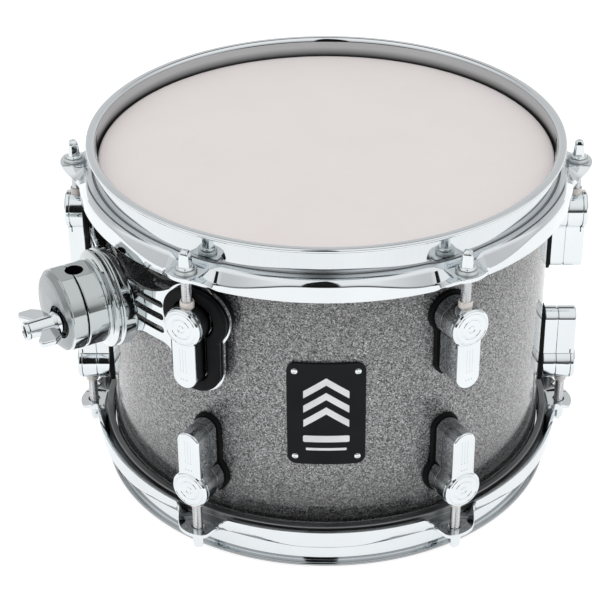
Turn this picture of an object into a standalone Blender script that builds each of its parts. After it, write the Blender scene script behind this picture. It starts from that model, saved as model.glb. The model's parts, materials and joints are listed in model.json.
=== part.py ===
"""A 10 by 7 inch tom tom drum with six lugs a side, in metres, +Z up.

The origin is the centre of the batter head's playing face, and the drum's axis is Z. The front (-Y)
carries the badge. Azimuth is measured from the front towards +X.
"""

import math

import bmesh
import bpy
from mathutils import Matrix, Vector
from mathutils.geometry import delaunay_2d_cdt

# ---------------------------------------------------------------- driving dimensions (metres)
MID_Z = -0.09025              # plane of symmetry between the two heads
SEG = 60                      # facets round the shell, heads and flesh hoops

SHELL_R = 0.1270              # 10 in maple shell
SHELL_WALL = 0.0051
SHELL_TOP = -0.0006
VENT_R = 0.0050
VENT_AZ = 180.0

FILM = 0.0003                 # head film
FILM_CROWN_R = 0.1262
FILM_COLLAR_R = 0.1277
FILM_EDGE_Z = -0.0155

FLESH_R_IN, FLESH_R_OUT = 0.1289, 0.1329
FLESH_TOP, FLESH_BOTTOM = -0.0074, -0.0158

HOOP_T = 0.0023               # triple-flanged steel hoop
LIP_TOP = 0.01085
LIP_R = 0.1335
WALL_R_IN, WALL_R_OUT = 0.1284, 0.1307
LEDGE_Z = -0.0046
SKIRT_R = 0.1389
SKIRT_BOTTOM = -0.01645
EAR_Z = -0.00735              # top face of an ear
EAR_TIP_R = 0.1500
ROD_CIRCLE_R = 0.1420
EAR_HOLE_R = 0.0038

LUG_AZ = {"front_left": -30.0, "front_right": 30.0, "right": 90.0,
          "rear_right": 150.0, "rear_left": -150.0, "left": -90.0}
LUG_BACK, LUG_FRONT = 0.1296, 0.1488
LUG_DISC_Z, LUG_DISC_R = -0.0385, 0.0110
LUG_STEM_Z, LUG_STEM_R = -0.0685, 0.0070
LUG_BEVEL = 0.0009
LUG_BORE_R, LUG_BORE_END = 0.0036, -0.0700
GASKET_MARGIN = 0.0014

ROD_R = 0.0030                # M6 shank
ROD_TIP_Z = -0.0533
ROD_HEAD_TOP = 0.00525
WASHER_R, WASHER_HOLE_R = 0.0061, 0.0035

ISO_MARGIN, ISO_NECK, ISO_HOLE = 0.0070, 0.0024, 0.0004
ISO_R = (0.1273, 0.1326, 0.1354, 0.1386)
PLATE_R_IN, PLATE_R_OUT = 0.1330, 0.1350
PLATE_MARGIN, PLATE_OPEN = 0.0082, 0.0028
PLATE_TOP, PLATE_BOTTOM, BOSS_R = -0.0354, -0.0621, 0.0262
SLOT_Z = (-0.0394, -0.0471, -0.0550)
SLOT_S, SLOT_LENGTH, SLOT_R = 0.0370, 0.0236, 0.0020

MOUNT_AZ = -60.0
MOUNT_Z = -0.05525
FLANGE_R, CLAMP_R = 0.0276, 0.0230
CLAMP_SPLIT = 0.1578
JAW_GAP = 0.0006
JAW_FRONT = 0.1720
CLAMP_FLAT = 0.0217           # height of the flats above and below the clamp's axis
ARM_HOLE_AT, ARM_HOLE_R = 0.1556, 0.0050
SCREW_T = 0.0115              # offset of the wing screw from the clamp's axis
SCREW_R, SCREW_HOLE_R = 0.0037, 0.0042
SCREW_SEAT = 0.1664
SCREW_END = 0.1905
WING_REACH = 0.0180

BADGE_W, BADGE_H, BADGE_CORNER = 0.0415, 0.0645, 0.0050
BADGE_Z, BADGE_AZ = -0.0925, 0.0
BADGE_R_IN, BADGE_R_OUT = 0.1273, 0.1286

EPS = 1e-7


# ---------------------------------------------------------------- scene and materials
for old in list(bpy.data.objects):
    bpy.data.objects.remove(old, do_unlink=True)


def material(name, color, rough, metal):
    mat = bpy.data.materials.new(name)
    mat.use_nodes = True
    bsdf = mat.node_tree.nodes["Principled BSDF"]
    bsdf.inputs["Base Color"].default_value = (*color, 1.0)
    bsdf.inputs["Roughness"].default_value = rough
    bsdf.inputs["Metallic"].default_value = metal
    mat.diffuse_color = (*color, 1.0)
    return mat


CHROME = material("chrome", (0.80, 0.81, 0.82), 0.08, 1.0)
LACQUER = material("sparkle_lacquer", (0.17, 0.17, 0.175), 0.25, 0.4)
HEAD = material("head_film", (0.76, 0.72, 0.70), 0.55, 0.0)
CLEAR = material("clear_film", (0.80, 0.80, 0.80), 0.30, 0.0)
ALLOY = material("flesh_hoop_alloy", (0.62, 0.63, 0.64), 0.35, 1.0)
RUBBER = material("rubber", (0.02, 0.02, 0.022), 0.6, 0.0)
STEEL = material("rod_steel", (0.70, 0.71, 0.72), 0.2, 1.0)
ZINC = material("washer_zinc", (0.60, 0.61, 0.62), 0.35, 1.0)
BLACK = material("badge_black", (0.03, 0.03, 0.032), 0.4, 0.0)


def add(name, mesh, mat, matrix=None):
    obj = bpy.data.objects.new(name, mesh)
    bpy.context.scene.collection.objects.link(obj)
    if not mesh.materials:
        mesh.materials.append(mat)
    if matrix is not None:
        obj.matrix_world = matrix
    return obj


def finish(bm, name, smooth=True):
    bmesh.ops.remove_doubles(bm, verts=bm.verts, dist=EPS)
    bmesh.ops.recalc_face_normals(bm, faces=bm.faces)
    mesh = bpy.data.meshes.new(name)
    bm.to_mesh(mesh)
    bm.free()
    if smooth:
        mesh.shade_smooth()
        mesh.set_sharp_from_angle(angle=math.radians(35))
    return mesh


def at(az):
    """Turns the front (-Y) to an azimuth about the drum's axis."""
    return Matrix.Rotation(math.radians(az), 4, "Z")


def lower():
    """Carries a batter-side piece to the resonant side: half a turn about the radial axis."""
    return Matrix.Translation((0, 0, 2 * MID_Z)) @ Matrix.Rotation(math.pi, 4, "Y")


# ---------------------------------------------------------------- shape helpers
def lathe(profile, steps, name, closed=True, axis=(0, 0, 1), smooth=True):
    """Spins an (r, h) profile about Z. A closed profile makes a ring, an open one from axis to axis a solid."""
    bm = bmesh.new()
    verts = [bm.verts.new((r, 0, h)) for r, h in profile]
    edges = [bm.edges.new(p) for p in zip(verts, verts[1:])]
    if closed:
        edges.append(bm.edges.new((verts[-1], verts[0])))
    bmesh.ops.spin(bm, geom=verts + edges, cent=(0, 0, 0), axis=(0, 0, 1), dvec=(0, 0, 0),
                   angle=2 * math.pi, steps=steps, use_merge=True, use_duplicate=False)
    bmesh.ops.remove_doubles(bm, verts=bm.verts, dist=1e-6)
    if axis == "radial":
        # local Z of the profile becomes the outward direction of azimuth 0
        bmesh.ops.transform(bm, matrix=Matrix.Rotation(math.pi / 2, 4, "X"), verts=bm.verts)
    return finish(bm, name, smooth)


def keyhole(margin=0.0, disc_steps=12, stem_steps=6):
    """Outline (t, z) of a lug: a round head near the hoop on a straight stem with a half-round end."""
    rd, rs = LUG_DISC_R + margin, LUG_STEM_R + margin
    meet = math.asin(rs / rd)
    pts = []
    a0, a1 = -math.pi / 2 + meet, 3 * math.pi / 2 - meet
    for i in range(disc_steps + 1):
        a = a0 + (a1 - a0) * i / disc_steps
        pts.append((rd * math.cos(a), LUG_DISC_Z + rd * math.sin(a)))
    for i in range(stem_steps + 1):
        a = math.pi + math.pi * i / stem_steps
        pts.append((rs * math.cos(a), LUG_STEM_Z + rs * math.sin(a)))
    return pts


def ring_prism(bm, rings):
    """Skins a list of equal-length rings and closes both ends."""
    rows = [[bm.verts.new(p) for p in ring] for ring in rings]
    count = len(rows[0])
    for low, high in zip(rows, rows[1:]):
        for i in range(count):
            j = (i + 1) % count
            bm.faces.new((low[i], low[j], high[j], high[i]))
    bm.faces.new(list(reversed(rows[0])))
    bm.faces.new(rows[-1])


def inside(poly, x, y):
    hit = False
    for (x0, y0), (x1, y1) in zip(poly, poly[1:] + poly[:1]):
        if (y0 > y) != (y1 > y) and x < (x1 - x0) * (y - y0) / (y1 - y0) + x0:
            hit = not hit
    return hit


def flat_mesh(outlines, spans):
    """Triangles of the plane cut along every outline and along vertical lines at the given spans."""
    points, edges = [], []
    for poly in outlines:
        base = len(points)
        points += [Vector(p) for p in poly]
        edges += [(base + i, base + (i + 1) % len(poly)) for i in range(len(poly))]
    low = min(p.y for p in points) - 0.001
    high = max(p.y for p in points) + 0.001
    for s in spans:
        edges.append((len(points), len(points) + 1))
        points += [Vector((s, low)), Vector((s, high))]
    out = delaunay_2d_cdt(points, edges, [], 0, 1e-7)
    return [tuple(v) for v in out[0]], [tuple(f) for f in out[2]]


def wrapped(layers, outlines, test, ref_r, spans, name):
    """A slab wrapped on the drum's curve. test(s, z) gives the list of (r_in, r_out) layers at a point."""
    flat, faces = flat_mesh(outlines, spans)
    bm = bmesh.new()
    made = {}

    def vert(i, r):
        if (i, r) not in made:
            s, z = flat[i]
            a = s / ref_r
            made[i, r] = bm.verts.new((r * math.sin(a), -r * math.cos(a), z))
        return made[i, r]

    kept = {}
    for f in faces:
        cx = sum(flat[i][0] for i in f) / 3
        cz = sum(flat[i][1] for i in f) / 3
        a, b, c = (flat[i] for i in f)
        if abs((b[0] - a[0]) * (c[1] - a[1]) - (b[1] - a[1]) * (c[0] - a[0])) < 1e-12:
            continue
        spans_here = test(cx, cz)
        if spans_here:
            kept[f] = spans_here
    side = {}
    for f, here in kept.items():
        for r0, r1 in here:
            bm.faces.new([vert(i, r1) for i in f])
            bm.faces.new([vert(i, r0) for i in reversed(f)])
        for i, j in zip(f, f[1:] + f[:1]):
            side.setdefault((min(i, j), max(i, j)), []).append((i, j, here))
    cuts = sorted({r for here in kept.values() for span in here for r in span})
    for users in side.values():
        def filled(here, r0, r1):
            return any(a <= r0 and r1 <= b for a, b in here)
        for r0, r1 in zip(cuts, cuts[1:]):
            has = [u for u in users if filled(u[2], r0, r1)]
            if len(has) == 1:
                i, j, _ = has[0]
                bm.faces.new((vert(i, r0), vert(j, r0), vert(j, r1), vert(i, r1)))
    # layers that run through several cuts need the cut points on their end faces only where walls meet
    return finish(bm, name, smooth=False)


def boolean(obj, cutter, operation="DIFFERENCE"):
    mod = obj.modifiers.new("cut", "BOOLEAN")
    mod.operation = operation
    mod.solver = "EXACT"
    mod.object = cutter
    return mod


def evaluated(obj, name):
    """The mesh of an object with its modifiers applied, for pieces that share it."""
    graph = bpy.context.evaluated_depsgraph_get()
    mesh = bpy.data.meshes.new_from_object(obj.evaluated_get(graph))
    mesh.name = name
    return mesh


def hide(obj):
    obj.hide_render = True
    obj.display_type = "WIRE"
    return obj


def rod_cutter(name, r, z0, z1, x=0.0, y=0.0, steps=8, mats=CHROME):
    mesh = lathe([(0, z0), (r, z0), (r, z1), (0, z1)], steps, name, closed=False)
    return hide(add(name, mesh, mats, Matrix.Translation((x, y, 0))))


def drop(*objects):
    for obj in objects:
        bpy.data.objects.remove(obj, do_unlink=True)


# ---------------------------------------------------------------- shell
r0, r1 = SHELL_R - SHELL_WALL, SHELL_R
z1, z0 = SHELL_TOP, 2 * MID_Z - SHELL_TOP
shell_profile = [
    (r1, z0 + 0.0016), (r1, z1 - 0.0016), (r1 - 0.0010, z1), (r1 - 0.0016, z1),
    (r0, z1 - 0.0035), (r0, z0 + 0.0035), (r1 - 0.0016, z0), (r1 - 0.0010, z0),
]
shell = add("shell", lathe(shell_profile, SEG, "shell"), LACQUER)
vent = hide(add("vent_cutter", lathe([(0, 0.11), (VENT_R, 0.11), (VENT_R, 0.14), (0, 0.14)], 12,
                                     "vent_cutter", closed=False, axis="radial"), LACQUER,
                at(VENT_AZ) @ Matrix.Translation((0, 0, MID_Z))))
boolean(shell, vent)

# ---------------------------------------------------------------- heads: film and flesh hoop
film_profile = [
    (0, 0), (FILM_CROWN_R, 0), (FILM_COLLAR_R, -0.0016), (FILM_COLLAR_R, FILM_EDGE_Z),
    (FILM_COLLAR_R - FILM, FILM_EDGE_Z), (FILM_COLLAR_R - FILM, -0.00172), (FILM_CROWN_R - 0.00012, -FILM), (0, -FILM),
]
film = lathe(film_profile, SEG, "head_film", closed=False)
flesh = lathe([(FLESH_R_IN, FLESH_BOTTOM), (FLESH_R_OUT, FLESH_BOTTOM), (FLESH_R_OUT, FLESH_TOP), (FLESH_R_IN, FLESH_TOP)],
              SEG, "flesh_hoop")
add("batter_head_film", film, HEAD)
add("resonant_head_film", film.copy(), HEAD, lower())
add("batter_flesh_hoop", flesh, ALLOY)
add("resonant_flesh_hoop", flesh, ALLOY, lower())
bpy.data.objects["resonant_head_film"].data.materials[0] = CLEAR


# ---------------------------------------------------------------- hoops
def hoop_section(alpha):
    """Section of the hoop alpha degrees from an ear's centre, as (r, z) points."""
    alpha = abs(alpha)
    body = [(WALL_R_IN, LIP_TOP), (LIP_R, LIP_TOP), (LIP_R, LIP_TOP - 0.0016), (WALL_R_OUT, LIP_TOP - 0.0032),
            (WALL_R_OUT, LEDGE_Z + 0.0004)]
    under = [(0.1338, LEDGE_Z - HOOP_T - 0.0002), (WALL_R_IN, LEDGE_Z - HOOP_T - 0.0002)]
    if alpha < 4.05:
        reach = {0.0: EAR_TIP_R, 2.1: 0.1480, 3.3: 0.1432, 4.0: 0.1396}[round(alpha, 1)]
        ear = [(0.1355, EAR_Z), (reach, EAR_Z), (reach, EAR_Z - HOOP_T + 0.0003),
               (reach - 0.0004, EAR_Z - HOOP_T), (0.1368, EAR_Z - HOOP_T)]
        return body + ear + under
    depth = -0.0128 if alpha < 4.6 else SKIRT_BOTTOM
    skirt = [(SKIRT_R - 0.0018, LEDGE_Z - 0.0002), (SKIRT_R, LEDGE_Z - 0.0020), (SKIRT_R, depth), (SKIRT_R - HOOP_T, depth),
             (SKIRT_R - HOOP_T, LEDGE_Z - HOOP_T - 0.0004)]
    return body + skirt + under


bm = bmesh.new()
stations = []
for k in range(6):
    ear_az = 30.0 + 60.0 * k
    for alpha in (-5.6, -4.4, -4.0, -3.3, -2.1, 0.0, 2.1, 3.3, 4.0, 4.4, 5.6):
        stations.append((ear_az + alpha, alpha))
    for i in range(1, 6):
        stations.append((ear_az + 5.6 + i * 48.8 / 6, 30.0))
rows = []
for az, alpha in stations:
    turn = at(az)
    rows.append([bm.verts.new(turn @ Vector((0, -r, z))) for r, z in hoop_section(alpha)])
for row, following in zip(rows, rows[1:] + rows[:1]):
    for i in range(len(row)):
        j = (i + 1) % len(row)
        bm.faces.new((row[i], following[i], following[j], row[j]))
hoop_solid = add("hoop_solid", finish(bm, "hoop_solid"), CHROME)
cutters = []
for k in range(6):
    p = at(30.0 + 60.0 * k) @ Vector((0, -ROD_CIRCLE_R, 0))
    cutter = rod_cutter(f"ear_cutter_{k}", EAR_HOLE_R, -0.020, 0.0, p.x, p.y)
    boolean(hoop_solid, cutter)
    cutters.append(cutter)
hoop_mesh = evaluated(hoop_solid, "hoop")
drop(hoop_solid, *cutters)
add("batter_hoop", hoop_mesh, CHROME)
add("resonant_hoop", hoop_mesh, CHROME, lower())

# ---------------------------------------------------------------- lugs and gaskets
bm = bmesh.new()
outer, inner = keyhole(), keyhole(-LUG_BEVEL)
ring_prism(bm, [[(t, -LUG_BACK, z) for t, z in outer], [(t, -(LUG_FRONT - LUG_BEVEL), z) for t, z in outer],
                [(t, -LUG_FRONT, z) for t, z in inner]])
lug_solid = add("lug_solid", finish(bm, "lug_solid"), CHROME)
bore = rod_cutter("lug_bore", LUG_BORE_R, LUG_BORE_END, 0.0, 0.0, -ROD_CIRCLE_R)
boolean(lug_solid, bore)
lug_mesh = evaluated(lug_solid, "lug")
drop(lug_solid, bore)

bm = bmesh.new()
pad = keyhole(GASKET_MARGIN)
front = [bm.verts.new((t, -(LUG_BACK - 0.0003), z)) for t, z in pad]
back = [bm.verts.new((t, -(SHELL_R + 0.0003 - 0.0492 * abs(t)), z)) for t, z in pad]
count = len(pad)
for i in range(count):
    j = (i + 1) % count
    bm.faces.new((back[i], back[j], front[j], front[i]))
bm.faces.new(front)
middle = [i for i, (t, z) in enumerate(pad) if abs(t) < 1e-9]
top, bottom = middle
bm.faces.new([back[i] for i in range(bottom, top - 1, -1)])
bm.faces.new([back[i % count] for i in range(top + count, bottom - 1, -1)])
gasket_mesh = finish(bm, "lug_gasket", smooth=False)

MOUNT_LUGS = ("left", "front_left")
for place, az in LUG_AZ.items():
    for side, carry in (("batter", Matrix.Identity(4)), ("resonant", lower())):
        # half a turn about the radial axis keeps the azimuth of the piece
        add(f"{side}_lug_{place}", lug_mesh, CHROME, at(az) @ carry)
        if side == "batter" and place in MOUNT_LUGS:
            continue
        add(f"{side}_lug_gasket_{place}", gasket_mesh, RUBBER, at(az) @ carry)

# ---------------------------------------------------------------- tension rods and washers
h = EAR_Z                      # rod meshes have their origin on the ear's face, on the rod's axis
rod_profile = [
    (0, ROD_TIP_Z - h), (ROD_R - 0.0008, ROD_TIP_Z - h), (ROD_R, ROD_TIP_Z - h + 0.0010), (ROD_R, 0.0021),
    (0.0056, 0.0021), (0.0056, 0.0034), (0.0038, 0.0040), (0.0038, 0.0105), (0.0026, ROD_HEAD_TOP - h), (0, ROD_HEAD_TOP - h),
]
rod_mesh = lathe(rod_profile, 8, "tension_rod", closed=False)
washer_mesh = lathe([(WASHER_HOLE_R, 0.0003), (WASHER_R, 0.0003), (WASHER_R, 0.0018), (WASHER_HOLE_R, 0.0018)], 10,
                    "rod_washer")
for place, az in LUG_AZ.items():
    spot = Matrix.Translation((0, -ROD_CIRCLE_R, EAR_Z))
    for side, carry in (("batter", Matrix.Identity(4)), ("resonant", lower())):
        add(f"{side}_rod_{place}", rod_mesh, STEEL, at(az) @ carry @ spot)
        add(f"{side}_rod_washer_{place}", washer_mesh, ZINC, at(az) @ carry @ spot)

# ---------------------------------------------------------------- badge
pts = []
for cx, cz, a0 in ((1, 1, 0), (-1, 1, 90), (-1, -1, 180), (1, -1, 270)):
    for i in range(4):
        a = math.radians(a0 + 30 * i)
        pts.append((cx * (BADGE_W / 2 - BADGE_CORNER) + BADGE_CORNER * math.cos(a),
                    cz * (BADGE_H / 2 - BADGE_CORNER) + BADGE_CORNER * math.sin(a)))
badge = [(x, z + BADGE_Z) for x, z in pts]
spans = [SHELL_R * math.radians(6 * k) for k in range(-1, 2)]
badge_mesh = wrapped(1, [badge], lambda s, z: [(BADGE_R_IN, BADGE_R_OUT)] if inside(badge, s, z) else [],
                     SHELL_R, spans, "badge")
add("badge", badge_mesh, BLACK, at(BADGE_AZ))

# ---------------------------------------------------------------- mount isolators
iso_out, iso_neck, iso_hole = keyhole(ISO_MARGIN), keyhole(ISO_NECK), keyhole(ISO_HOLE)


def iso_layers(s, z):
    if inside(iso_hole, s, z) or not inside(iso_out, s, z):
        return []
    a, b, c, d = ISO_R
    if inside(iso_neck, s, z):
        return [(a, b), (b, c), (c, d)]
    return [(a, b), (c, d)]


def merge_layers(mesh_name, outlines, test, ref_r, spans):
    """As wrapped, but layers that touch share no face between them."""
    def joined(s, z):
        out = []
        for r0, r1 in test(s, z):
            if out and abs(out[-1][1] - r0) < 1e-9:
                out[-1] = (out[-1][0], r1)
            else:
                out.append((r0, r1))
        return out
    return wrapped(1, outlines, joined, ref_r, spans, mesh_name)


spans = [SHELL_R * math.radians(6 * k) for k in range(-1, 2)]
iso_mesh = merge_layers("mount_isolator", [iso_out, iso_neck, iso_hole], iso_layers, SHELL_R, spans)
for place in MOUNT_LUGS:
    add(f"mount_isolator_{place}", iso_mesh, RUBBER, at(LUG_AZ[place]))

# ---------------------------------------------------------------- mount plate
ref = PLATE_R_OUT


def shifted(poly, az, grow=1.0):
    return [(t * ref / SHELL_R * grow + ref * math.radians(az), z) for t, z in poly]


ends = [shifted(keyhole(PLATE_MARGIN), az) for az in (-30.0, 30.0)]
openings = [shifted(keyhole(PLATE_OPEN), az) for az in (-30.0, 30.0)]
reach = ref * math.radians(30.0)
bridge = [(-reach, PLATE_BOTTOM), (reach, PLATE_BOTTOM), (reach, PLATE_TOP), (-reach, PLATE_TOP)]
boss = [(BOSS_R * math.cos(2 * math.pi * i / 20), MOUNT_Z + BOSS_R * math.sin(2 * math.pi * i / 20)) for i in range(20)]


def arc(cx, cz, r, a0, a1, n):
    return [(cx + r * math.cos(math.radians(a0 + (a1 - a0) * i / n)), cz + r * math.sin(math.radians(a0 + (a1 - a0) * i / n)))
            for i in range(n + 1)]


def corner_web(r, away, circle_s, circle_z, circle_r, edge, side):
    """Fills the corner between a circle and a straight edge with a concave curve of radius r, tangent to both."""
    up = 1 if edge == PLATE_TOP else -1
    cz = edge + up * r
    cs = circle_s + away * math.sqrt((circle_r + r) ** 2 - (cz - circle_z) ** 2)
    toward = math.degrees(math.atan2(circle_z - cz, circle_s - cs))
    curve = arc(cs, cz, r, -90.0 * up, toward if abs(toward + 90.0 * up) < 180 else toward - 360.0 * math.copysign(1, toward), 6)
    middle = (PLATE_TOP + PLATE_BOTTOM) / 2
    return [(side * s, z) for s, z in curve + [(curve[-1][0], middle), (curve[0][0], middle)]]


end_s, end_r = reach, LUG_DISC_R + PLATE_MARGIN
stem_edge = reach - LUG_STEM_R - PLATE_MARGIN
webs = []
for side in (-1, 1):
    webs.append(corner_web(0.045, -1, end_s, LUG_DISC_Z, end_r, PLATE_TOP, side))
    webs.append(corner_web(0.015, 1, 0.0, MOUNT_Z, BOSS_R, PLATE_BOTTOM, side))
    curve = arc(stem_edge - 0.009, PLATE_BOTTOM - 0.009, 0.009, 90.0, 0.0, 6)
    webs.append([(side * s, z) for s, z in curve + [(stem_edge + 0.001, PLATE_BOTTOM - 0.009), (stem_edge + 0.001, -0.050), (curve[0][0], -0.050)]])
slots = []
for side in (-1, 1):
    for z in SLOT_Z:
        slot = []
        for end, a0 in ((1, -90), (-1, 90)):
            for i in range(4):
                a = math.radians(a0 + 60 * i)
                slot.append((side * SLOT_S + end * (SLOT_LENGTH / 2 - SLOT_R) + SLOT_R * math.cos(a),
                             z + SLOT_R * math.sin(a)))
        slots.append(slot)


def plate_layers(s, z):
    if any(inside(hole, s, z) for hole in openings + slots):
        return []
    if any(inside(part, s, z) for part in ends + [bridge, boss] + webs):
        return [(PLATE_R_IN, PLATE_R_OUT)]
    return []


spans = [ref * math.radians(6 * k) for k in range(-6, 7)]
plate_mesh = wrapped(1, ends + openings + [bridge, boss] + slots + webs, plate_layers, ref, spans, "mount_plate")
add("mount_plate", plate_mesh, CHROME, at(MOUNT_AZ))

# ---------------------------------------------------------------- clamp base, jaw and wing screw
MOUNT = at(MOUNT_AZ) @ Matrix.Translation((0, 0, MOUNT_Z))
clamp_base_profile = [
    (0, 0.1310), (FLANGE_R, 0.1310), (FLANGE_R, 0.1395), (FLANGE_R - 0.0012, 0.1400), (FLANGE_R - 0.0012, 0.1412),
    (FLANGE_R - 0.0004, 0.1416), (FLANGE_R - 0.0004, 0.1440), (CLAMP_R, 0.1446), (CLAMP_R, CLAMP_SPLIT), (0, CLAMP_SPLIT),
]
base = add("clamp_base", lathe(clamp_base_profile, 24, "clamp_base", closed=False, axis="radial"), CHROME, MOUNT)
saddle = hide(add("saddle_cutter", lathe([(0, -0.09), (0.1356, -0.09), (0.1356, -0.02), (0, -0.02)], 60, "saddle_cutter",
                                         closed=False), CHROME))
boolean(base, saddle)


def block(name, x0, x1, rho0, rho1, z0, z1):
    bm = bmesh.new()
    bmesh.ops.create_cube(bm, size=1.0)
    size = Vector((x1 - x0, rho1 - rho0, z1 - z0))
    centre = Vector(((x0 + x1) / 2, -(rho0 + rho1) / 2, (z0 + z1) / 2))
    bmesh.ops.transform(bm, matrix=Matrix.Translation(centre) @ Matrix.Diagonal((*size, 1.0)), verts=bm.verts)
    return hide(add(name, finish(bm, name, smooth=False), CHROME, MOUNT))


flat_top = block("flat_top_cutter", -0.03, 0.03, 0.1462, 0.1670, CLAMP_FLAT, 0.04)
flat_bottom = block("flat_bottom_cutter", -0.03, 0.03, 0.1462, 0.1670, -0.04, -CLAMP_FLAT)
arm = hide(add("arm_cutter", lathe([(0, -0.04), (ARM_HOLE_R, -0.04), (ARM_HOLE_R, 0.04), (0, 0.04)], 16, "arm_cutter",
                                   closed=False), CHROME, MOUNT @ Matrix.Translation((0, -ARM_HOLE_AT, 0))))
screw_hole = hide(add("screw_hole_cutter", lathe([(0, 0.1462), (SCREW_HOLE_R, 0.1462), (SCREW_HOLE_R, 0.18), (0, 0.18)], 10,
                                                 "screw_hole_cutter", closed=False, axis="radial"), CHROME,
                      MOUNT @ Matrix.Translation((SCREW_T, 0, 0))))
for cutter in (flat_top, flat_bottom, arm, screw_hole):
    boolean(base, cutter)

split = CLAMP_SPLIT + JAW_GAP
jaw_profile = [
    (0, split), (CLAMP_R, split), (CLAMP_R, 0.1662), (CLAMP_R - 0.0040, JAW_FRONT - 0.0020),
    (CLAMP_R - 0.0110, JAW_FRONT - 0.0004), (0, JAW_FRONT),
]
jaw = add("clamp_jaw", lathe(jaw_profile, 24, "clamp_jaw", closed=False, axis="radial"), CHROME, MOUNT)
seat = hide(add("screw_seat_cutter", lathe([(0, SCREW_SEAT - 0.0004), (0.0092, SCREW_SEAT - 0.0004), (0.0092, 0.18), (0, 0.18)],
                                           14, "screw_seat_cutter", closed=False, axis="radial"), CHROME,
                MOUNT @ Matrix.Translation((SCREW_T, 0, 0))))
for cutter in (flat_top, flat_bottom, arm, screw_hole, seat):
    boolean(jaw, cutter)

screw_profile = [
    (0, 0.1480), (SCREW_R - 0.0008, 0.1480), (SCREW_R, 0.1488), (SCREW_R, SCREW_SEAT), (0.0080, SCREW_SEAT),
    (0.0080, SCREW_SEAT + 0.0016), (0.0052, SCREW_SEAT + 0.0022), (0.0052, SCREW_END), (0.0034, SCREW_END),
    (0.0034, SCREW_END - 0.0070), (0, SCREW_END - 0.0070),
]
screw_body = lathe(screw_profile, 12, "wing_screw", closed=False, axis="radial")
wing = [
    (-0.0030, 0.1724), (-0.0125, 0.1736), (-0.0165, 0.1775), (-WING_REACH, 0.1830), (-0.0172, 0.1878), (-0.0140, 0.1886),
    (-0.0090, 0.1858), (-0.0030, 0.1815),
]
outline = wing + [(-x, y) for x, y in reversed(wing)]
bm = bmesh.new()
ring_prism(bm, [[(x, -y, z) for x, y in outline] for z in (-0.0015, 0.0015)])
# the wing plate crosses the barrel, so the bore of the barrel stays clear of it
wings = hide(add("wing_plate_body", finish(bm, "wing_plate_body", smooth=False), CHROME))
screw_origin = Matrix.Translation((SCREW_T, 0, 0))
screw = add("wing_screw", screw_body, CHROME, MOUNT @ screw_origin)
wings.matrix_world = MOUNT @ screw_origin
boolean(screw, wings, "UNION")
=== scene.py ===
"""Finished looks of the ten inch tom tom drum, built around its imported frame. Metres, +Z up."""

import json
import math

import bmesh
import bpy
import numpy as np
from mathutils import Matrix, Vector
from mathutils.geometry import delaunay_2d_cdt

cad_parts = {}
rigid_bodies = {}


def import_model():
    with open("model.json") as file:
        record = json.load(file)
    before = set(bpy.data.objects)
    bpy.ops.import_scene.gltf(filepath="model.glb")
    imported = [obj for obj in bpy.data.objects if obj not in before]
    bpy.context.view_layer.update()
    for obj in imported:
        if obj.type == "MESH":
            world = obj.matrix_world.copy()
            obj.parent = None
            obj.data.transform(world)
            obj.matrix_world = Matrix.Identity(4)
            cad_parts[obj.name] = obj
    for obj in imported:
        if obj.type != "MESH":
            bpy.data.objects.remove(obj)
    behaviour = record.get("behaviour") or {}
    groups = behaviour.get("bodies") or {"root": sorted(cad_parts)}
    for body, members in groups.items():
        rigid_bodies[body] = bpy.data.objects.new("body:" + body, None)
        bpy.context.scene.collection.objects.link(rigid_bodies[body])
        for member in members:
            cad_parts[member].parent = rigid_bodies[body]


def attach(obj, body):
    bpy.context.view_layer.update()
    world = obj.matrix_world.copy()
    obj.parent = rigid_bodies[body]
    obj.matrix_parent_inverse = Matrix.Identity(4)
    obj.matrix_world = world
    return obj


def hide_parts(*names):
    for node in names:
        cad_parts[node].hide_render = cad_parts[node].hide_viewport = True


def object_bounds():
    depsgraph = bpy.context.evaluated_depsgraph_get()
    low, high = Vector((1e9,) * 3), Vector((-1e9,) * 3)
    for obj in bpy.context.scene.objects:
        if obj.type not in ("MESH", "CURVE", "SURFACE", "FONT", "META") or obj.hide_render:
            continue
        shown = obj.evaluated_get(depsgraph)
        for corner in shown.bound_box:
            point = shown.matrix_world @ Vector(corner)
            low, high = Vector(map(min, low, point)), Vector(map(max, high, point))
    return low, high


for old in list(bpy.data.objects):
    bpy.data.objects.remove(old, do_unlink=True)

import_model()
CAD_BOX = [list(map(float, corner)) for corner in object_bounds()]

# ---------------------------------------------------------------- dimensions (metres)
MM = 0.001
MID_Z = -0.09025
SHELL_R, SHELL_WALL = 0.1270, 0.0051
HOOP_T = 0.0023
EAR_Z = -0.00735
ROD_CIRCLE_R = 0.1420
LUG_AZ = {"front_left": -30.0, "front_right": 30.0, "right": 90.0,
          "rear_right": 150.0, "rear_left": -150.0, "left": -90.0}
MOUNT_LUGS = ("left", "front_left")
LUG_DISC_Z, LUG_DISC_R = -0.0385, 0.0110
LUG_STEM_Z, LUG_STEM_R = -0.0685, 0.0070
MOUNT_AZ, MOUNT_Z = -60.0, -0.05525
FLANGE_R, CLAMP_R = 0.0276, 0.0230
CLAMP_SPLIT, JAW_GAP, JAW_FRONT = 0.1578, 0.0006, 0.1720
CLAMP_FLAT = 0.0217
ARM_HOLE_AT, ARM_HOLE_R = 0.1556, 0.0050
SCREW_T, SCREW_SEAT, SCREW_END = 0.0115, 0.1664, 0.1905
BADGE_W, BADGE_H, BADGE_CORNER = 0.0415, 0.0645, 0.0050
BADGE_Z, BADGE_AZ = -0.0925, 0.0
FLOOR_Z = CAD_BOX[0][2]


def at(az):
    return Matrix.Rotation(math.radians(az), 4, "Z")


def lower():
    return Matrix.Translation((0, 0, 2 * MID_Z)) @ Matrix.Rotation(math.pi, 4, "Y")


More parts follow.
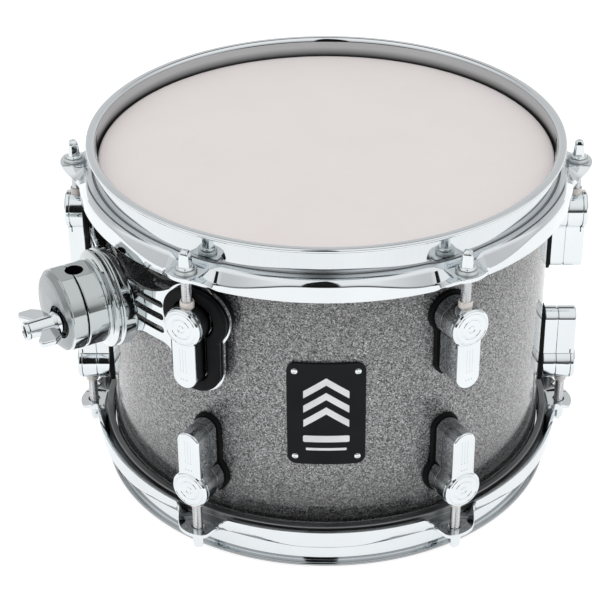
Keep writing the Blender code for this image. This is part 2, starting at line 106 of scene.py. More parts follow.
# ---------------------------------------------------------------- material helpers
class Nodes:
    """A small writer of shader nodes."""

    def __init__(self, name):
        self.mat = bpy.data.materials.new(name)
        self.mat.use_nodes = True
        self.tree = self.mat.node_tree
        self.bsdf = self.tree.nodes["Principled BSDF"]
        self.coord = None

    def new(self, kind, **props):
        node = self.tree.nodes.new(kind)
        for key, value in props.items():
            setattr(node, key, value)
        return node

    def link(self, a, b):
        self.tree.links.new(a, b)

    def place(self):
        if self.coord is None:
            self.coord = self.new("ShaderNodeTexCoord").outputs["Object"]
        return self.coord

    def scaled(self, x=1.0, y=1.0, z=1.0):
        node = self.new("ShaderNodeMapping")
        node.inputs["Scale"].default_value = (x, y, z)
        self.link(self.place(), node.inputs["Vector"])
        return node.outputs["Vector"]

    def noise(self, scale, detail=2.0, rough=0.5, vector=None):
        node = self.new("ShaderNodeTexNoise")
        node.inputs["Scale"].default_value = scale
        node.inputs["Detail"].default_value = detail
        node.inputs["Roughness"].default_value = rough
        self.link(vector or self.place(), node.inputs["Vector"])
        return node.outputs["Fac"]

    def cells(self, scale, vector=None):
        node = self.new("ShaderNodeTexVoronoi", feature="F1")
        node.inputs["Scale"].default_value = scale
        self.link(vector or self.place(), node.inputs["Vector"])
        return node

    def remap(self, value, a, b, lo, hi, smooth=False):
        node = self.new("ShaderNodeMapRange")
        if smooth:
            node.interpolation_type = "SMOOTHSTEP"
        for key, number in (("From Min", a), ("From Max", b), ("To Min", lo), ("To Max", hi)):
            node.inputs[key].default_value = number
        self.link(value, node.inputs["Value"])
        return node.outputs["Result"]

    def math(self, op, a, b=None):
        node = self.new("ShaderNodeMath", operation=op)
        for i, v in enumerate((a, b)):
            if v is None:
                continue
            if isinstance(v, (int, float)):
                node.inputs[i].default_value = v
            else:
                self.link(v, node.inputs[i])
        return node.outputs[0]

    def mix(self, fac, a, b, blend="MIX"):
        node = self.new("ShaderNodeMix", data_type="RGBA", blend_type=blend)
        for i, v in ((0, fac), (6, a), (7, b)):
            if isinstance(v, (int, float)):
                node.inputs[i].default_value = v
            elif isinstance(v, tuple):
                node.inputs[i].default_value = (*v, 1.0)
            else:
                self.link(v, node.inputs[i])
        return node.outputs[2]

    def bump(self, height, strength, distance):
        node = self.new("ShaderNodeBump")
        node.inputs["Strength"].default_value = strength
        node.inputs["Distance"].default_value = distance
        self.link(height, node.inputs["Height"])
        return node.outputs["Normal"]

    def set(self, **values):
        for key, value in values.items():
            socket = self.bsdf.inputs[key.replace("_", " ")]
            if isinstance(value, bpy.types.NodeSocket):
                self.link(value, socket)
            elif isinstance(value, tuple):
                socket.default_value = (*value, 1.0)
            else:
                socket.default_value = value
        return self


def metal(name, tint, rough, spread, waves=0.25, smudge=0.04):
    """Plated or bare metal: faint smudges in the polish, slow waves in the surface, fine hairlines."""
    n = Nodes(name)
    smear = n.noise(55.0, 4.0, 0.6)
    fine = n.noise(900.0, 2.0, 0.5)
    rgh = n.math("ADD", n.remap(smear, 0.35, 0.75, rough, rough + spread, True), n.remap(fine, 0.3, 0.8, 0.0, smudge))
    low = tuple(c * 0.95 for c in tint)
    colour = n.mix(n.remap(n.noise(30.0, 3.0), 0.3, 0.7, 0.0, 1.0), low, tint)
    height = n.noise(70.0, 1.0)
    n.set(Base_Color=colour, Metallic=1.0, Roughness=rgh, Normal=n.bump(height, waves, 0.00006))
    return n.mat


def plastic(name, colour, rough, grain=1500.0, depth=0.00004, spread=0.12, spec=0.5, lift=1.25):
    n = Nodes(name)
    tex = n.noise(grain, 3.0, 0.6)
    patch = n.noise(60.0, 3.0)
    shade = n.mix(n.remap(patch, 0.3, 0.7, 0.0, 1.0), tuple(c * 0.85 for c in colour), tuple(min(1.0, c * lift) for c in colour))
    rgh = n.remap(n.noise(140.0, 3.0), 0.3, 0.7, rough, rough + spread)
    n.set(Base_Color=shade, Roughness=rgh, Normal=n.bump(tex, 0.35, depth), Specular_IOR_Level=spec)
    return n.mat


def lug_metal():
    """Lug chrome: bright in front, with a painted dark reflection along the flanks next to the shell on the front and
    back lugs.
    """
    n = Nodes("lug_chrome_plate")
    split = n.new("ShaderNodeSeparateXYZ")
    n.link(n.place(), split.inputs[0])
    x, y, _ = split.outputs
    r = n.math("SQRT", n.math("ADD", n.math("MULTIPLY", x, x), n.math("MULTIPLY", y, y)))
    near = n.remap(n.math("ABSOLUTE", x), 0.098, 0.116, 1.0, 0.0, True)
    # painted reflection: the flanks of the front and back lugs are darkened towards the shell
    painted_flank_reflection = n.math("MULTIPLY", near, n.remap(r, 0.1385, 0.1452, 0.58, 0.0, True))
    tone = n.mix(n.remap(n.noise(30.0, 3.0), 0.3, 0.7, 0.0, 1.0), (0.736, 0.774, 0.793), (0.775, 0.815, 0.835))
    tone = n.mix(painted_flank_reflection, tone, (0.03, 0.033, 0.036))
    rgh = n.math("ADD", n.remap(n.noise(55.0, 4.0, 0.6), 0.35, 0.75, 0.035, 0.07, True), n.remap(n.noise(900.0), 0.3, 0.8, 0.0, 0.01))
    n.set(Base_Color=tone, Metallic=1.0, Roughness=rgh, Normal=n.bump(n.noise(70.0, 1.0), 0.10, 0.00006))
    return n.mat


LUG_CHROME = lug_metal()
CHROME = metal("chrome_plate", (0.775, 0.815, 0.835), 0.035, 0.035, 0.10, 0.01)


def hoop_metal():
    """Hoop chrome: bright on the lip, wall and skirt, spun satin streaks on the ledge lifted by painted light, painted
    shade on the inner wall next to the head, in the concave fillet and outer bend of the ledge, on the batter hoop's
    outer wall and in two bands at the resonant hoop's lip.
    """
    n = Nodes("hoop_chrome_plate")
    split = n.new("ShaderNodeSeparateXYZ")
    n.link(n.place(), split.inputs[0])
    x, y, z = split.outputs
    r = n.math("SQRT", n.math("ADD", n.math("MULTIPLY", x, x), n.math("MULTIPLY", y, y)))
    h = n.math("SUBTRACT", n.math("ABSOLUTE", n.math("SUBTRACT", z, MID_Z)), -MID_Z)
    level = n.math("ABSOLUTE", n.math("ADD", h, 0.0046))
    on_ledge = n.remap(level, 0.0005, 0.0010, 1.0, 0.0, True)
    flat = n.math("MULTIPLY", n.math("MULTIPLY", n.remap(r, 0.1308, 0.1312, 0.0, 1.0), n.remap(r, 0.1346, 0.1356, 1.0, 0.0)), on_ledge)
    # painted shade: the inner wall is darkened towards the head
    inner = n.math("MULTIPLY", n.remap(r, 0.12880, 0.12900, 1.0, 0.0), n.remap(h, -0.003, 0.0085, 1.0, 1.0))
    inner_wall_shade = n.remap(h, 0.0004, 0.0052, 0.16, 0.72)
    # painted shade: dark lines in the concave fillet between wall and ledge and along the ledge's outer bend
    heel_shade = n.math("MULTIPLY", n.remap(n.math("ABSOLUTE", n.math("SUBTRACT", r, 0.1311)), 0.0002, 0.0006, 0.88, 0.0),
                  n.remap(level, 0.0009, 0.0014, 1.0, 0.0))
    crease_shade = n.math("MULTIPLY", n.remap(n.math("ABSOLUTE", n.math("SUBTRACT", r, 0.1350)), 0.0002, 0.0007, 0.85, 0.0), on_ledge)
    line = n.new("ShaderNodeCombineXYZ")
    n.link(r, line.inputs[0])
    streak = n.remap(n.noise(1900.0, 2.0, 0.6, line.outputs[0]), 0.35, 0.65, 0.74, 1.08)
    # painted shade on the resonant hoop only: a dark band in the fillet under the lip and a darker line along the lip's
    # outer edge
    lip_shade = n.math("MULTIPLY", n.remap(r, 0.1309, 0.1314, 0.0, 1.0), n.remap(z, 2 * MID_Z - 0.0076, 2 * MID_Z - 0.0070, 0.45, 0.0))
    lip_shade = n.math("MAXIMUM", lip_shade, n.math("MULTIPLY", n.remap(r, 0.1309, 0.1314, 0.0, 1.0), n.remap(z, 2 * MID_Z - 0.01020, 2 * MID_Z - 0.00985, 0.86, 0.0)))
    shade = n.math("SUBTRACT", 1.0, n.math("MAXIMUM", lip_shade, n.math("MAXIMUM", heel_shade, crease_shade)))
    shade = n.math("MULTIPLY", shade, n.math("ADD", n.math("MULTIPLY", inner, inner_wall_shade), n.math("SUBTRACT", 1.0, inner)))
    # spun streaks on the ledge, lifted by 12% as painted light
    shade = n.math("MULTIPLY", shade, n.math("ADD", n.math("MULTIPLY", flat, n.math("MULTIPLY", streak, 1.12)), n.math("SUBTRACT", 1.0, flat)))
    # painted shade: the outer wall of the batter hoop only is darkened by 11%
    wall = n.math("MULTIPLY", n.remap(h, -0.0036, -0.0028, 0.0, 1.0, True), n.remap(h, 0.0068, 0.0076, 1.0, 0.0, True))
    wall = n.math("MULTIPLY", wall, n.remap(z, MID_Z, MID_Z + 0.001, 0.0, 1.0))
    shade = n.math("MULTIPLY", shade, n.math("SUBTRACT", 1.0, n.math("MULTIPLY", n.math("MULTIPLY", wall, 0.11), n.remap(r, 0.1305, 0.1308, 0.0, 1.0, True))))
    tone = n.mix(n.remap(n.noise(30.0, 3.0), 0.3, 0.7, 0.0, 1.0), (0.725, 0.758, 0.777), (0.760, 0.796, 0.816))
    grey = n.new("ShaderNodeCombineXYZ")
    for i in range(3):
        n.link(shade, grey.inputs[i])
    tone = n.mix(1.0, tone, grey.outputs[0], "MULTIPLY")
    smear = n.math("ADD", n.remap(n.noise(55.0, 4.0, 0.6), 0.35, 0.75, 0.035, 0.065, True), n.remap(n.noise(900.0), 0.3, 0.8, 0.0, 0.01))
    rgh = n.math("ADD", smear, n.math("MULTIPLY", flat, 0.30))
    n.set(Base_Color=tone, Metallic=1.0, Roughness=rgh, Normal=n.bump(n.noise(70.0, 1.0), 0.08, 0.00006))
    return n.mat


HOOP_CHROME = hoop_metal()


def clamp_metal():
    """Clamp chrome: a painted dark reflection on the upper half of the barrel, bright below."""
    n = Nodes("clamp_chrome_plate")
    split = n.new("ShaderNodeSeparateXYZ")
    n.link(n.place(), split.inputs[0])
    smear = n.noise(55.0, 4.0, 0.6)
    level = n.math("ADD", split.outputs[2], n.math("MULTIPLY", n.math("SUBTRACT", smear, 0.5), 0.003))
    tone = n.mix(n.remap(n.noise(30.0, 3.0), 0.3, 0.7, 0.0, 1.0), (0.736, 0.774, 0.793), (0.775, 0.815, 0.835))
    # painted reflection: darker above a ragged line near z -0.062
    tone = n.mix(n.remap(level, -0.0640, -0.0600, 0.0, 1.0, True), tone, (0.50, 0.535, 0.54))
    rgh = n.math("ADD", n.remap(smear, 0.35, 0.75, 0.035, 0.07, True), n.remap(n.noise(900.0), 0.3, 0.8, 0.0, 0.01))
    n.set(Base_Color=tone, Metallic=1.0, Roughness=rgh, Normal=n.bump(n.noise(70.0, 1.0), 0.10, 0.00006))
    return n.mat


CLAMP_CHROME = clamp_metal()
CLAMP_FACE = metal("clamp_face_satin", (0.36, 0.385, 0.395), 0.24, 0.10, 0.2, 0.03)
STEEL = metal("rod_steel_plate", (0.76, 0.77, 0.78), 0.16, 0.10, 0.3, 0.05)
KEY_STEEL = metal("rod_head_plate", (0.76, 0.80, 0.815), 0.06, 0.06, 0.2, 0.02)
ZINC = metal("washer_zinc_plate", (0.66, 0.69, 0.69), 0.30, 0.10, 0.5, 0.06)
ALLOY = metal("flesh_hoop_alloy_satin", (0.70, 0.71, 0.72), 0.28, 0.12, 0.4, 0.06)
# painted shade: a darker copy of the flesh hoop alloy for the resonant side
ALLOY_DARK = metal("flesh_hoop_alloy_painted_shade", (0.26, 0.265, 0.27), 0.34, 0.12, 0.4, 0.06)
RUBBER = plastic("isolator_rubber_matt", (0.0045, 0.0048, 0.0056), 0.42, 1800.0, 0.00005, 0.16, 0.10)
GASKET = plastic("gasket_rubber_matt", (0.006, 0.0065, 0.007), 0.50, 1800.0, 0.00005, 0.16, 0.12)
NYLON = plastic("swivel_nylon", (0.80, 0.75, 0.71), 0.34, 900.0, 0.00003, 0.12, 0.5, 1.1)
LINER = plastic("clamp_liner_nylon", (0.005, 0.005, 0.006), 0.35, 1600.0, 0.00004, 0.12, 0.2)
BADGE_BLACK = plastic("badge_satin_black", (0.0075, 0.0080, 0.0095), 0.30, 2200.0, 0.00003, 0.12, 0.10)
BADGE_WHITE = plastic("badge_white_ink", (0.82, 0.83, 0.84), 0.45, 2200.0, 0.00003, 0.10, 0.4, 1.05)


def sparkle():
    """Metal-flake lacquer: two sizes of flake, each with its own brightness and tilt, under clear coat, with painted
    shade towards both bearing edges and a painted shadow round the mount.
    """
    n = Nodes("sparkle_lacquer_coat")
    big = n.cells(1 / 0.00064)
    small = n.cells(1 / 0.00042, n.scaled(1.0, 1.0, 1.07))
    glint = n.cells(1 / 0.00056, n.scaled(0.93, 1.03, 1.0))
    sep_b, sep_s, sep_g = (n.new("ShaderNodeSeparateColor") for _ in range(3))
    for cells, sep in ((big, sep_b), (small, sep_s), (glint, sep_g)):
        n.link(cells.outputs["Color"], sep.inputs["Color"])
    value = n.math("ADD", n.math("MULTIPLY", sep_b.outputs[0], 0.55), n.math("MULTIPLY", sep_s.outputs[1], 0.45))
    base = n.mix(n.remap(value, 0.27, 0.76, 0.0, 1.0), SPARKLE_LOW, SPARKLE_HIGH)
    spark = n.remap(sep_g.outputs[2], 0.84, 0.98, 0.0, 1.0, True)
    base = n.mix(spark, base, SPARKLE_GLINT)
    cloud_and_painted_shade = n.remap(n.noise(16.0, 3.0), 0.3, 0.7, 0.95, 1.04)
    split = n.new("ShaderNodeSeparateXYZ")
    n.link(n.place(), split.inputs[0])
    z = split.outputs[2]
    low = n.remap(z, -0.176, -0.122, 0.30, 1.0, True)        # painted shade: the flake is darkened towards both bearing edges
    high = n.remap(z, -0.070, -0.012, 1.0, 0.74, True)
    cloud_and_painted_shade = n.math("MULTIPLY", cloud_and_painted_shade, n.math("MULTIPLY", low, high))
    # painted shadow: the lacquer is darkened in a patch above and beside the tom mount
    side = n.new("ShaderNodeVectorMath", operation="DISTANCE")
    n.link(n.scaled(1.0, 1.0, 1.35), side.inputs[0])
    side.inputs[1].default_value = (-0.1001, -0.0782, -0.022 * 1.35)
    cloud_and_painted_shade = n.math("MULTIPLY", cloud_and_painted_shade, n.remap(side.outputs["Value"], 0.040, 0.074, 0.10, 1.0, True))
    base = n.mix(1.0, base, n.mix(cloud_and_painted_shade, (0.0, 0.0, 0.0), (1.0, 1.0, 1.0)), "MULTIPLY")
    tilt = n.new("ShaderNodeVectorMath", operation="SUBTRACT")
    n.link(small.outputs["Color"], tilt.inputs[0])
    tilt.inputs[1].default_value = (0.5, 0.5, 0.5)
    lean = n.new("ShaderNodeVectorMath", operation="SCALE")
    n.link(tilt.outputs[0], lean.inputs[0])
    lean.inputs["Scale"].default_value = 0.55
    geo = n.new("ShaderNodeNewGeometry")
    total = n.new("ShaderNodeVectorMath", operation="ADD")
    n.link(geo.outputs["Normal"], total.inputs[0])
    n.link(lean.outputs[0], total.inputs[1])
    unit = n.new("ShaderNodeVectorMath", operation="NORMALIZE")
    n.link(total.outputs[0], unit.inputs[0])
    orange = n.bump(n.noise(240.0, 2.0), 0.05, 0.0001)
    n.set(Base_Color=base, Metallic=0.72, Roughness=n.remap(sep_s.outputs[0], 0.0, 1.0, 0.36, 0.52), Normal=unit.outputs[0],
          Coat_Weight=1.0, Coat_Roughness=0.035, Coat_Normal=orange)
    return n.mat


SPARKLE_LOW = (0.007, 0.0074, 0.0078)
SPARKLE_HIGH = (0.350, 0.352, 0.358)
SPARKLE_GLINT = (0.56, 0.565, 0.57)
LACQUER = sparkle()


def maple():
    n = Nodes("maple_ply_inside")
    grain = n.noise(95.0, 5.0, 0.65, n.scaled(1.0, 1.0, 9.0))
    fleck = n.noise(700.0, 2.0, 0.5, n.scaled(1.0, 1.0, 14.0))
    broad = n.noise(18.0, 3.0, 0.5, n.scaled(1.0, 1.0, 3.0))
    colour = n.mix(n.remap(grain, 0.3, 0.7, 0.0, 1.0), (0.42, 0.25, 0.12), (0.62, 0.42, 0.24))
    colour = n.mix(n.remap(fleck, 0.55, 0.75, 0.0, 0.5), colour, (0.33, 0.18, 0.08))
    colour = n.mix(n.remap(broad, 0.3, 0.7, 0.0, 0.35), colour, (0.70, 0.50, 0.30))
    n.set(Base_Color=colour, Roughness=n.remap(grain, 0.2, 0.8, 0.38, 0.56), Normal=n.bump(grain, 0.3, 0.0001))
    return n.mat


MAPLE = maple()


def head_skin():
    """Smooth white polyester: near even, with a barely visible mottle and a soft gloss."""
    n = Nodes("batter_film_white")
    mottle = n.noise(22.0, 4.0, 0.55)
    fine = n.noise(420.0, 3.0, 0.5)
    colour = n.mix(n.remap(mottle, 0.3, 0.7, 0.0, 1.0), (0.800, 0.743, 0.731), (0.819, 0.768, 0.758))
    colour = n.mix(n.remap(fine, 0.45, 0.75, 0.0, 0.10), colour, (0.735, 0.695, 0.680))
    rgh = n.remap(n.noise(120.0, 3.0), 0.3, 0.7, 0.42, 0.55)
    n.set(Base_Color=colour, Roughness=rgh, Normal=n.bump(fine, 0.25, 0.00003), Specular_IOR_Level=0.35)
    return n.mat


HEAD = head_skin()


def clear_skin():
    n = Nodes("resonant_film_clear")
    haze = n.noise(30.0, 4.0, 0.55)
    colour = n.mix(n.remap(haze, 0.3, 0.7, 0.0, 1.0), (0.86, 0.88, 0.90), (0.93, 0.94, 0.95))
    n.set(Base_Color=colour, Roughness=n.remap(n.noise(160.0, 3.0), 0.3, 0.7, 0.07, 0.13),
          Normal=n.bump(n.noise(420.0, 2.0), 0.1, 0.00002), Transmission_Weight=0.85, IOR=1.35)
    return n.mat


CLEAR = clear_skin()


# ---------------------------------------------------------------- mesh helpers
def fillet_path(points, closed=False, seg=5, support=0.12 * MM, always=False):
    """Rounds the corners of a polyline of (x, y, radius) and adds a support point beside each round."""
    n = len(points)
    out = []
    for i, (x, y, r) in enumerate(points):
        p = np.array((x, y), float)
        if (not closed and i in (0, n - 1)) or r <= 0:
            out.append(p)
            continue
        a = np.array(points[i - 1][:2], float) - p
        b = np.array(points[(i + 1) % n][:2], float) - p
        la, lb = np.linalg.norm(a), np.linalg.norm(b)
        a, b = a / la, b / lb
        half = math.acos(max(-1.0, min(1.0, float(a @ b)))) / 2
        if half > math.radians(89.0):
            spread = min(r, 0.4 * la, 0.4 * lb) * 0.4
            out += [p + (a if k < 0 else b) * spread * abs(k) for k in np.linspace(-1, 1, seg + 3 if always else 3)]
            continue
        t = min(r / math.tan(half), 0.48 * la, 0.48 * lb)
        r = t * math.tan(half)
        centre = p + (a + b) / np.linalg.norm(a + b) * (r / math.sin(half))
        start, end = p + a * t, p + b * t
        u, v = start - centre, end - centre
        sweep = math.pi - 2 * half
        if always or t + support < 0.48 * la:
            out.append(start + a * support)
        for k in range(seg + 1):
            f = k / seg
            w = (math.sin((1 - f) * sweep) * u + math.sin(f * sweep) * v) / math.sin(sweep)
            out.append(centre + w)
        if always or t + support < 0.48 * lb:
            out.append(end + b * support)
    return [tuple(map(float, p)) for p in out]


def tidy(bm, name, mats, angle, merge=1e-7):
    bmesh.ops.remove_doubles(bm, verts=bm.verts, dist=merge)
    bmesh.ops.recalc_face_normals(bm, faces=bm.faces)
    mesh = bpy.data.meshes.new(name)
    bm.to_mesh(mesh)
    bm.free()
    for mat in mats:
        mesh.materials.append(mat)
    mesh.shade_smooth()
    mesh.set_sharp_from_angle(angle=math.radians(angle))
    return mesh


def lathe(name, profile, steps, mats, closed=True, radial=False, angle=38, ids=None, turn=0.0):
    """Spins (r, h) points about Z, or about the outward direction of azimuth 0. ids gives a material per span."""
    bm = bmesh.new()
    rows = []
    for r, h in profile:
        if r < 1e-9:
            rows.append([bm.verts.new((0, 0, h))] * steps)
        else:
            rows.append([bm.verts.new((r * math.sin(2 * math.pi * (k + turn) / steps), -r * math.cos(2 * math.pi * (k + turn) / steps), h))
                         for k in range(steps)])
    spans = list(zip(rows, rows[1:])) + ([(rows[-1], rows[0])] if closed else [])
    for index, (low, high) in enumerate(spans):
        for k in range(steps):
            j = (k + 1) % steps
            quad = []
            for v in (low[k], low[j], high[j], high[k]):
                if v not in quad:
                    quad.append(v)
            if len(quad) > 2:
                face = bm.faces.new(quad)
                if ids:
                    face.material_index = ids[index]
    if radial:
        bmesh.ops.transform(bm, matrix=Matrix.Rotation(math.pi / 2, 4, "X"), verts=bm.verts)
    return tidy(bm, name, mats, angle)


def skin(name, rings, mats, loop=False, angle=38, caps=True):
    """Quads between equal rings of points. loop joins the last ring to the first."""
    bm = bmesh.new()
    rows = [[bm.verts.new(p) for p in ring] for ring in rings]
    pairs = list(zip(rows, rows[1:])) + ([(rows[-1], rows[0])] if loop else [])
    for low, high in pairs:
        for k in range(len(low)):
            j = (k + 1) % len(low)
            bm.faces.new((low[k], low[j], high[j], high[k]))
    if caps and not loop:
        bm.faces.new(list(reversed(rows[0])))
        bm.faces.new(rows[-1])
    return tidy(bm, name, mats, angle)


def scratch(mesh, matrix=None):
    obj = bpy.data.objects.new("scratch", mesh)
    bpy.context.scene.collection.objects.link(obj)
    if matrix is not None:
        obj.matrix_world = matrix
    return obj


def carve(mesh, cutters, name, angle=38, union=(), bevel=None, mats=None, weighted=True):
    """The mesh after exact unions and cuts, with an optional fine bevel along its hard edges."""
    obj = scratch(mesh)
    others = []
    for operation, group in (("UNION", union), ("DIFFERENCE", cutters)):
        for cutter in group:
            part = scratch(*cutter) if isinstance(cutter, tuple) else scratch(cutter)
            others.append(part)
            mod = obj.modifiers.new("cut", "BOOLEAN")
            mod.operation, mod.solver, mod.object = operation, "EXACT", part
    if bevel:
        mod = obj.modifiers.new("bevel", "BEVEL")
        mod.width, mod.segments, mod.limit_method, mod.angle_limit = bevel[0], bevel[1], "ANGLE", math.radians(bevel[2])
        mod.harden_normals = False
    graph = bpy.context.evaluated_depsgraph_get()
    out = bpy.data.meshes.new_from_object(obj.evaluated_get(graph))
    out.name = name
    for o in [obj] + others:
        bpy.data.objects.remove(o, do_unlink=True)
    bm = bmesh.new()
    bm.from_mesh(out)
    bmesh.ops.remove_doubles(bm, verts=bm.verts, dist=1e-7)
    bmesh.ops.dissolve_degenerate(bm, dist=1e-7, edges=bm.edges)
    bm.to_mesh(out)
    bm.free()
    out.shade_smooth()
    out.set_sharp_from_angle(angle=math.radians(angle))
    return out


def put(name, mesh, body="root", nodes=(), matrix=None, weigh=True):
    if matrix is not None:
        mesh = mesh.copy()
        mesh.transform(matrix)
    obj = bpy.data.objects.new(name, mesh)
    bpy.context.scene.collection.objects.link(obj)
    if weigh:
        mod = obj.modifiers.new("even shading", "WEIGHTED_NORMAL")
        mod.keep_sharp = True
        mod.weight = 80
    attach(obj, body)
    if nodes:
        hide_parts(*nodes)
    return obj


def cylinder(r, z0, z1, steps=24):
    return lathe("cut", [(0, z0), (r, z0), (r, z1), (0, z1)], steps, [], closed=False)


def radial_cylinder(r, h0, h1, steps=32):
    return lathe("cut", [(0, h0), (r, h0), (r, h1), (0, h1)], steps, [], closed=False, radial=True)


def block(x0, x1, rho0, rho1, z0, z1):
    bm = bmesh.new()
    bmesh.ops.create_cube(bm, size=1.0)
    size = Vector((x1 - x0, rho1 - rho0, z1 - z0))
    centre = Vector(((x0 + x1) / 2, -(rho0 + rho1) / 2, (z0 + z1) / 2))
    bmesh.ops.transform(bm, matrix=Matrix.Translation(centre) @ Matrix.Diagonal((*size, 1.0)), verts=bm.verts)
    return tidy(bm, "cut", [], 30)


def keyhole(margin=0.0, round_in=1.6 * MM, n_disc=40, n_in=6, n_stem=20):
    """Outline (t, z) of a lug: a disc on a straight stem, with a soft inside corner between them."""
    rd, rs = LUG_DISC_R + margin, LUG_STEM_R + margin
    f = max(round_in - margin, 0.5 * MM)
    drop_z = math.sqrt(max((rd + f) ** 2 - (rs + f) ** 2, 1e-10))
    cz = LUG_DISC_Z - drop_z
    a_disc = math.atan2(-drop_z, rs + f)             # direction from the disc's centre to the fillet's centre
    pts = []
    for i in range(n_disc + 1):
        a = a_disc + (math.pi - 2 * a_disc) * i / n_disc
        pts.append((rd * math.cos(a), LUG_DISC_Z + rd * math.sin(a)))
    for i in range(1, n_in + 1):                     # left inside corner, turning to straight down
        a = -a_disc + a_disc * i / n_in
        pts.append((-(rs + f) + f * math.cos(a), cz + f * math.sin(a)))
    for i in range(1, n_stem):
        a = math.pi + math.pi * i / n_stem
        pts.append((rs * math.cos(a), LUG_STEM_Z + rs * math.sin(a)))
    for i in range(n_in, 0, -1):
        a = -a_disc + a_disc * i / n_in
        pts.append(((rs + f) - f * math.cos(a), cz + f * math.sin(a)))
    return pts


def flat_ring(margin, r):
    return [(t, -r, z) for t, z in keyhole(margin)]


def wrap_ring(margin, r):
    return [(r * math.sin(t / SHELL_R), -r * math.cos(t / SHELL_R), z) for t, z in keyhole(margin)]


# ---------------------------------------------------------------- shell
STEPS = 240
r0, r1 = SHELL_R - SHELL_WALL, SHELL_R
top, bottom = -0.0007, 2 * MID_Z + 0.0007
outer = fillet_path([(r1 - 0.0016, top, 0.4 * MM), (r1 - 0.0006, top - 0.0002, 0.6 * MM), (r1, top - 0.0022, 1.2 * MM),
                     (r1, bottom + 0.0022, 1.2 * MM), (r1 - 0.0006, bottom + 0.0002, 0.6 * MM), (r1 - 0.0016, bottom, 0.4 * MM)], seg=3)
inner_path = fillet_path([(r1 - 0.0020, bottom, 0.3 * MM), (r0, bottom + 0.0036, 1.0 * MM), (r0, top - 0.0036, 1.0 * MM),
                          (r1 - 0.0020, top, 0.3 * MM)], seg=3)
wall = []
for a, b in zip(outer, outer[1:]):
    wall.append(a)
    if abs(a[1] - b[1]) > 0.05:                      # the long outside wall is divided for even shading
        wall += [(a[0], a[1] + (b[1] - a[1]) * k / 6) for k in range(1, 6)]
wall.append(outer[-1])
profile = wall + inner_path
ids = [0] * (len(wall) - 1) + [1] * (len(inner_path) + 1)
shell_mesh = lathe("shell_turned", profile, STEPS, [LACQUER, MAPLE], ids=ids)
shell_mesh = carve(shell_mesh, [(radial_cylinder(0.0050, 0.11, 0.14, 40), at(180) @ Matrix.Translation((0, 0, MID_Z)))],
                   "shell_vented")
put("shell_lacquered", shell_mesh, nodes=["shell"], weigh=False)

grommet = lathe("vent_grommet", fillet_path([
    (4.0 * MM, 0.1214, 0.3 * MM), (4.0 * MM, 0.1280, 0.7 * MM), (6.4 * MM, 0.1283, 0.5 * MM), (8.2 * MM, 0.12745, 0.3 * MM),
    (8.2 * MM, 0.12715, 0.1 * MM), (4.8 * MM, 0.12715, 0.1 * MM), (4.8 * MM, 0.1214, 0.2 * MM)], closed=True, seg=4),
    64, [CHROME], radial=True)
put("vent_grommet", grommet, matrix=at(180) @ Matrix.Translation((0, 0, MID_Z)))

# ---------------------------------------------------------------- heads
film_top = [(0, 0), (30 * MM, 0), (60 * MM, 0), (90 * MM, 0), (110 * MM, 0), (118 * MM, 0), (122 * MM, -0.01 * MM),
            (125.4 * MM, -0.03 * MM), (126.5 * MM, -0.10 * MM), (127.15 * MM, -0.32 * MM), (127.5 * MM, -0.75 * MM),
            (127.66 * MM, -1.60 * MM), (127.7 * MM, -3.4 * MM), (127.7 * MM, -9.0 * MM), (127.7 * MM, -15.5 * MM)]
film_low = [(127.45 * MM, -15.5 * MM), (127.45 * MM, -4.0 * MM), (127.3 * MM, -2.8 * MM), (126.9 * MM, -1.95 * MM),
            (126.35 * MM, -1.30 * MM), (125.5 * MM, -0.85 * MM), (124.2 * MM, -0.50 * MM), (122 * MM, -0.34 * MM),
            (110 * MM, -0.26 * MM), (60 * MM, -0.26 * MM), (0, -0.26 * MM)]
film = lathe("head_film_drawn", film_top + film_low, STEPS, [HEAD], closed=False, angle=60)
put("batter_head_skin", film, nodes=["batter_head_film"], weigh=False)
film2 = film.copy()
film2.materials[0] = CLEAR
put("resonant_head_skin", film2, nodes=["resonant_head_film"], matrix=lower(), weigh=False)

flesh = lathe("flesh_hoop_rolled", fillet_path([
    (0.1289, -0.0158, 0.5 * MM), (0.1329, -0.0158, 0.9 * MM), (0.1329, -0.0129, 0.25 * MM), (0.1325, -0.0126, 0.15 * MM),
    (0.1325, -0.0120, 0.15 * MM), (0.1329, -0.0117, 0.25 * MM), (0.1329, -0.0074, 1.2 * MM), (0.1289, -0.0074, 1.2 * MM)],
    closed=True, seg=4), STEPS, [ALLOY])
put("batter_flesh_hoop_rolled", flesh, nodes=["batter_flesh_hoop"])
flesh = flesh.copy()
flesh.materials[0] = ALLOY_DARK
put("resonant_flesh_hoop_rolled", flesh, nodes=["resonant_flesh_hoop"], matrix=lower())


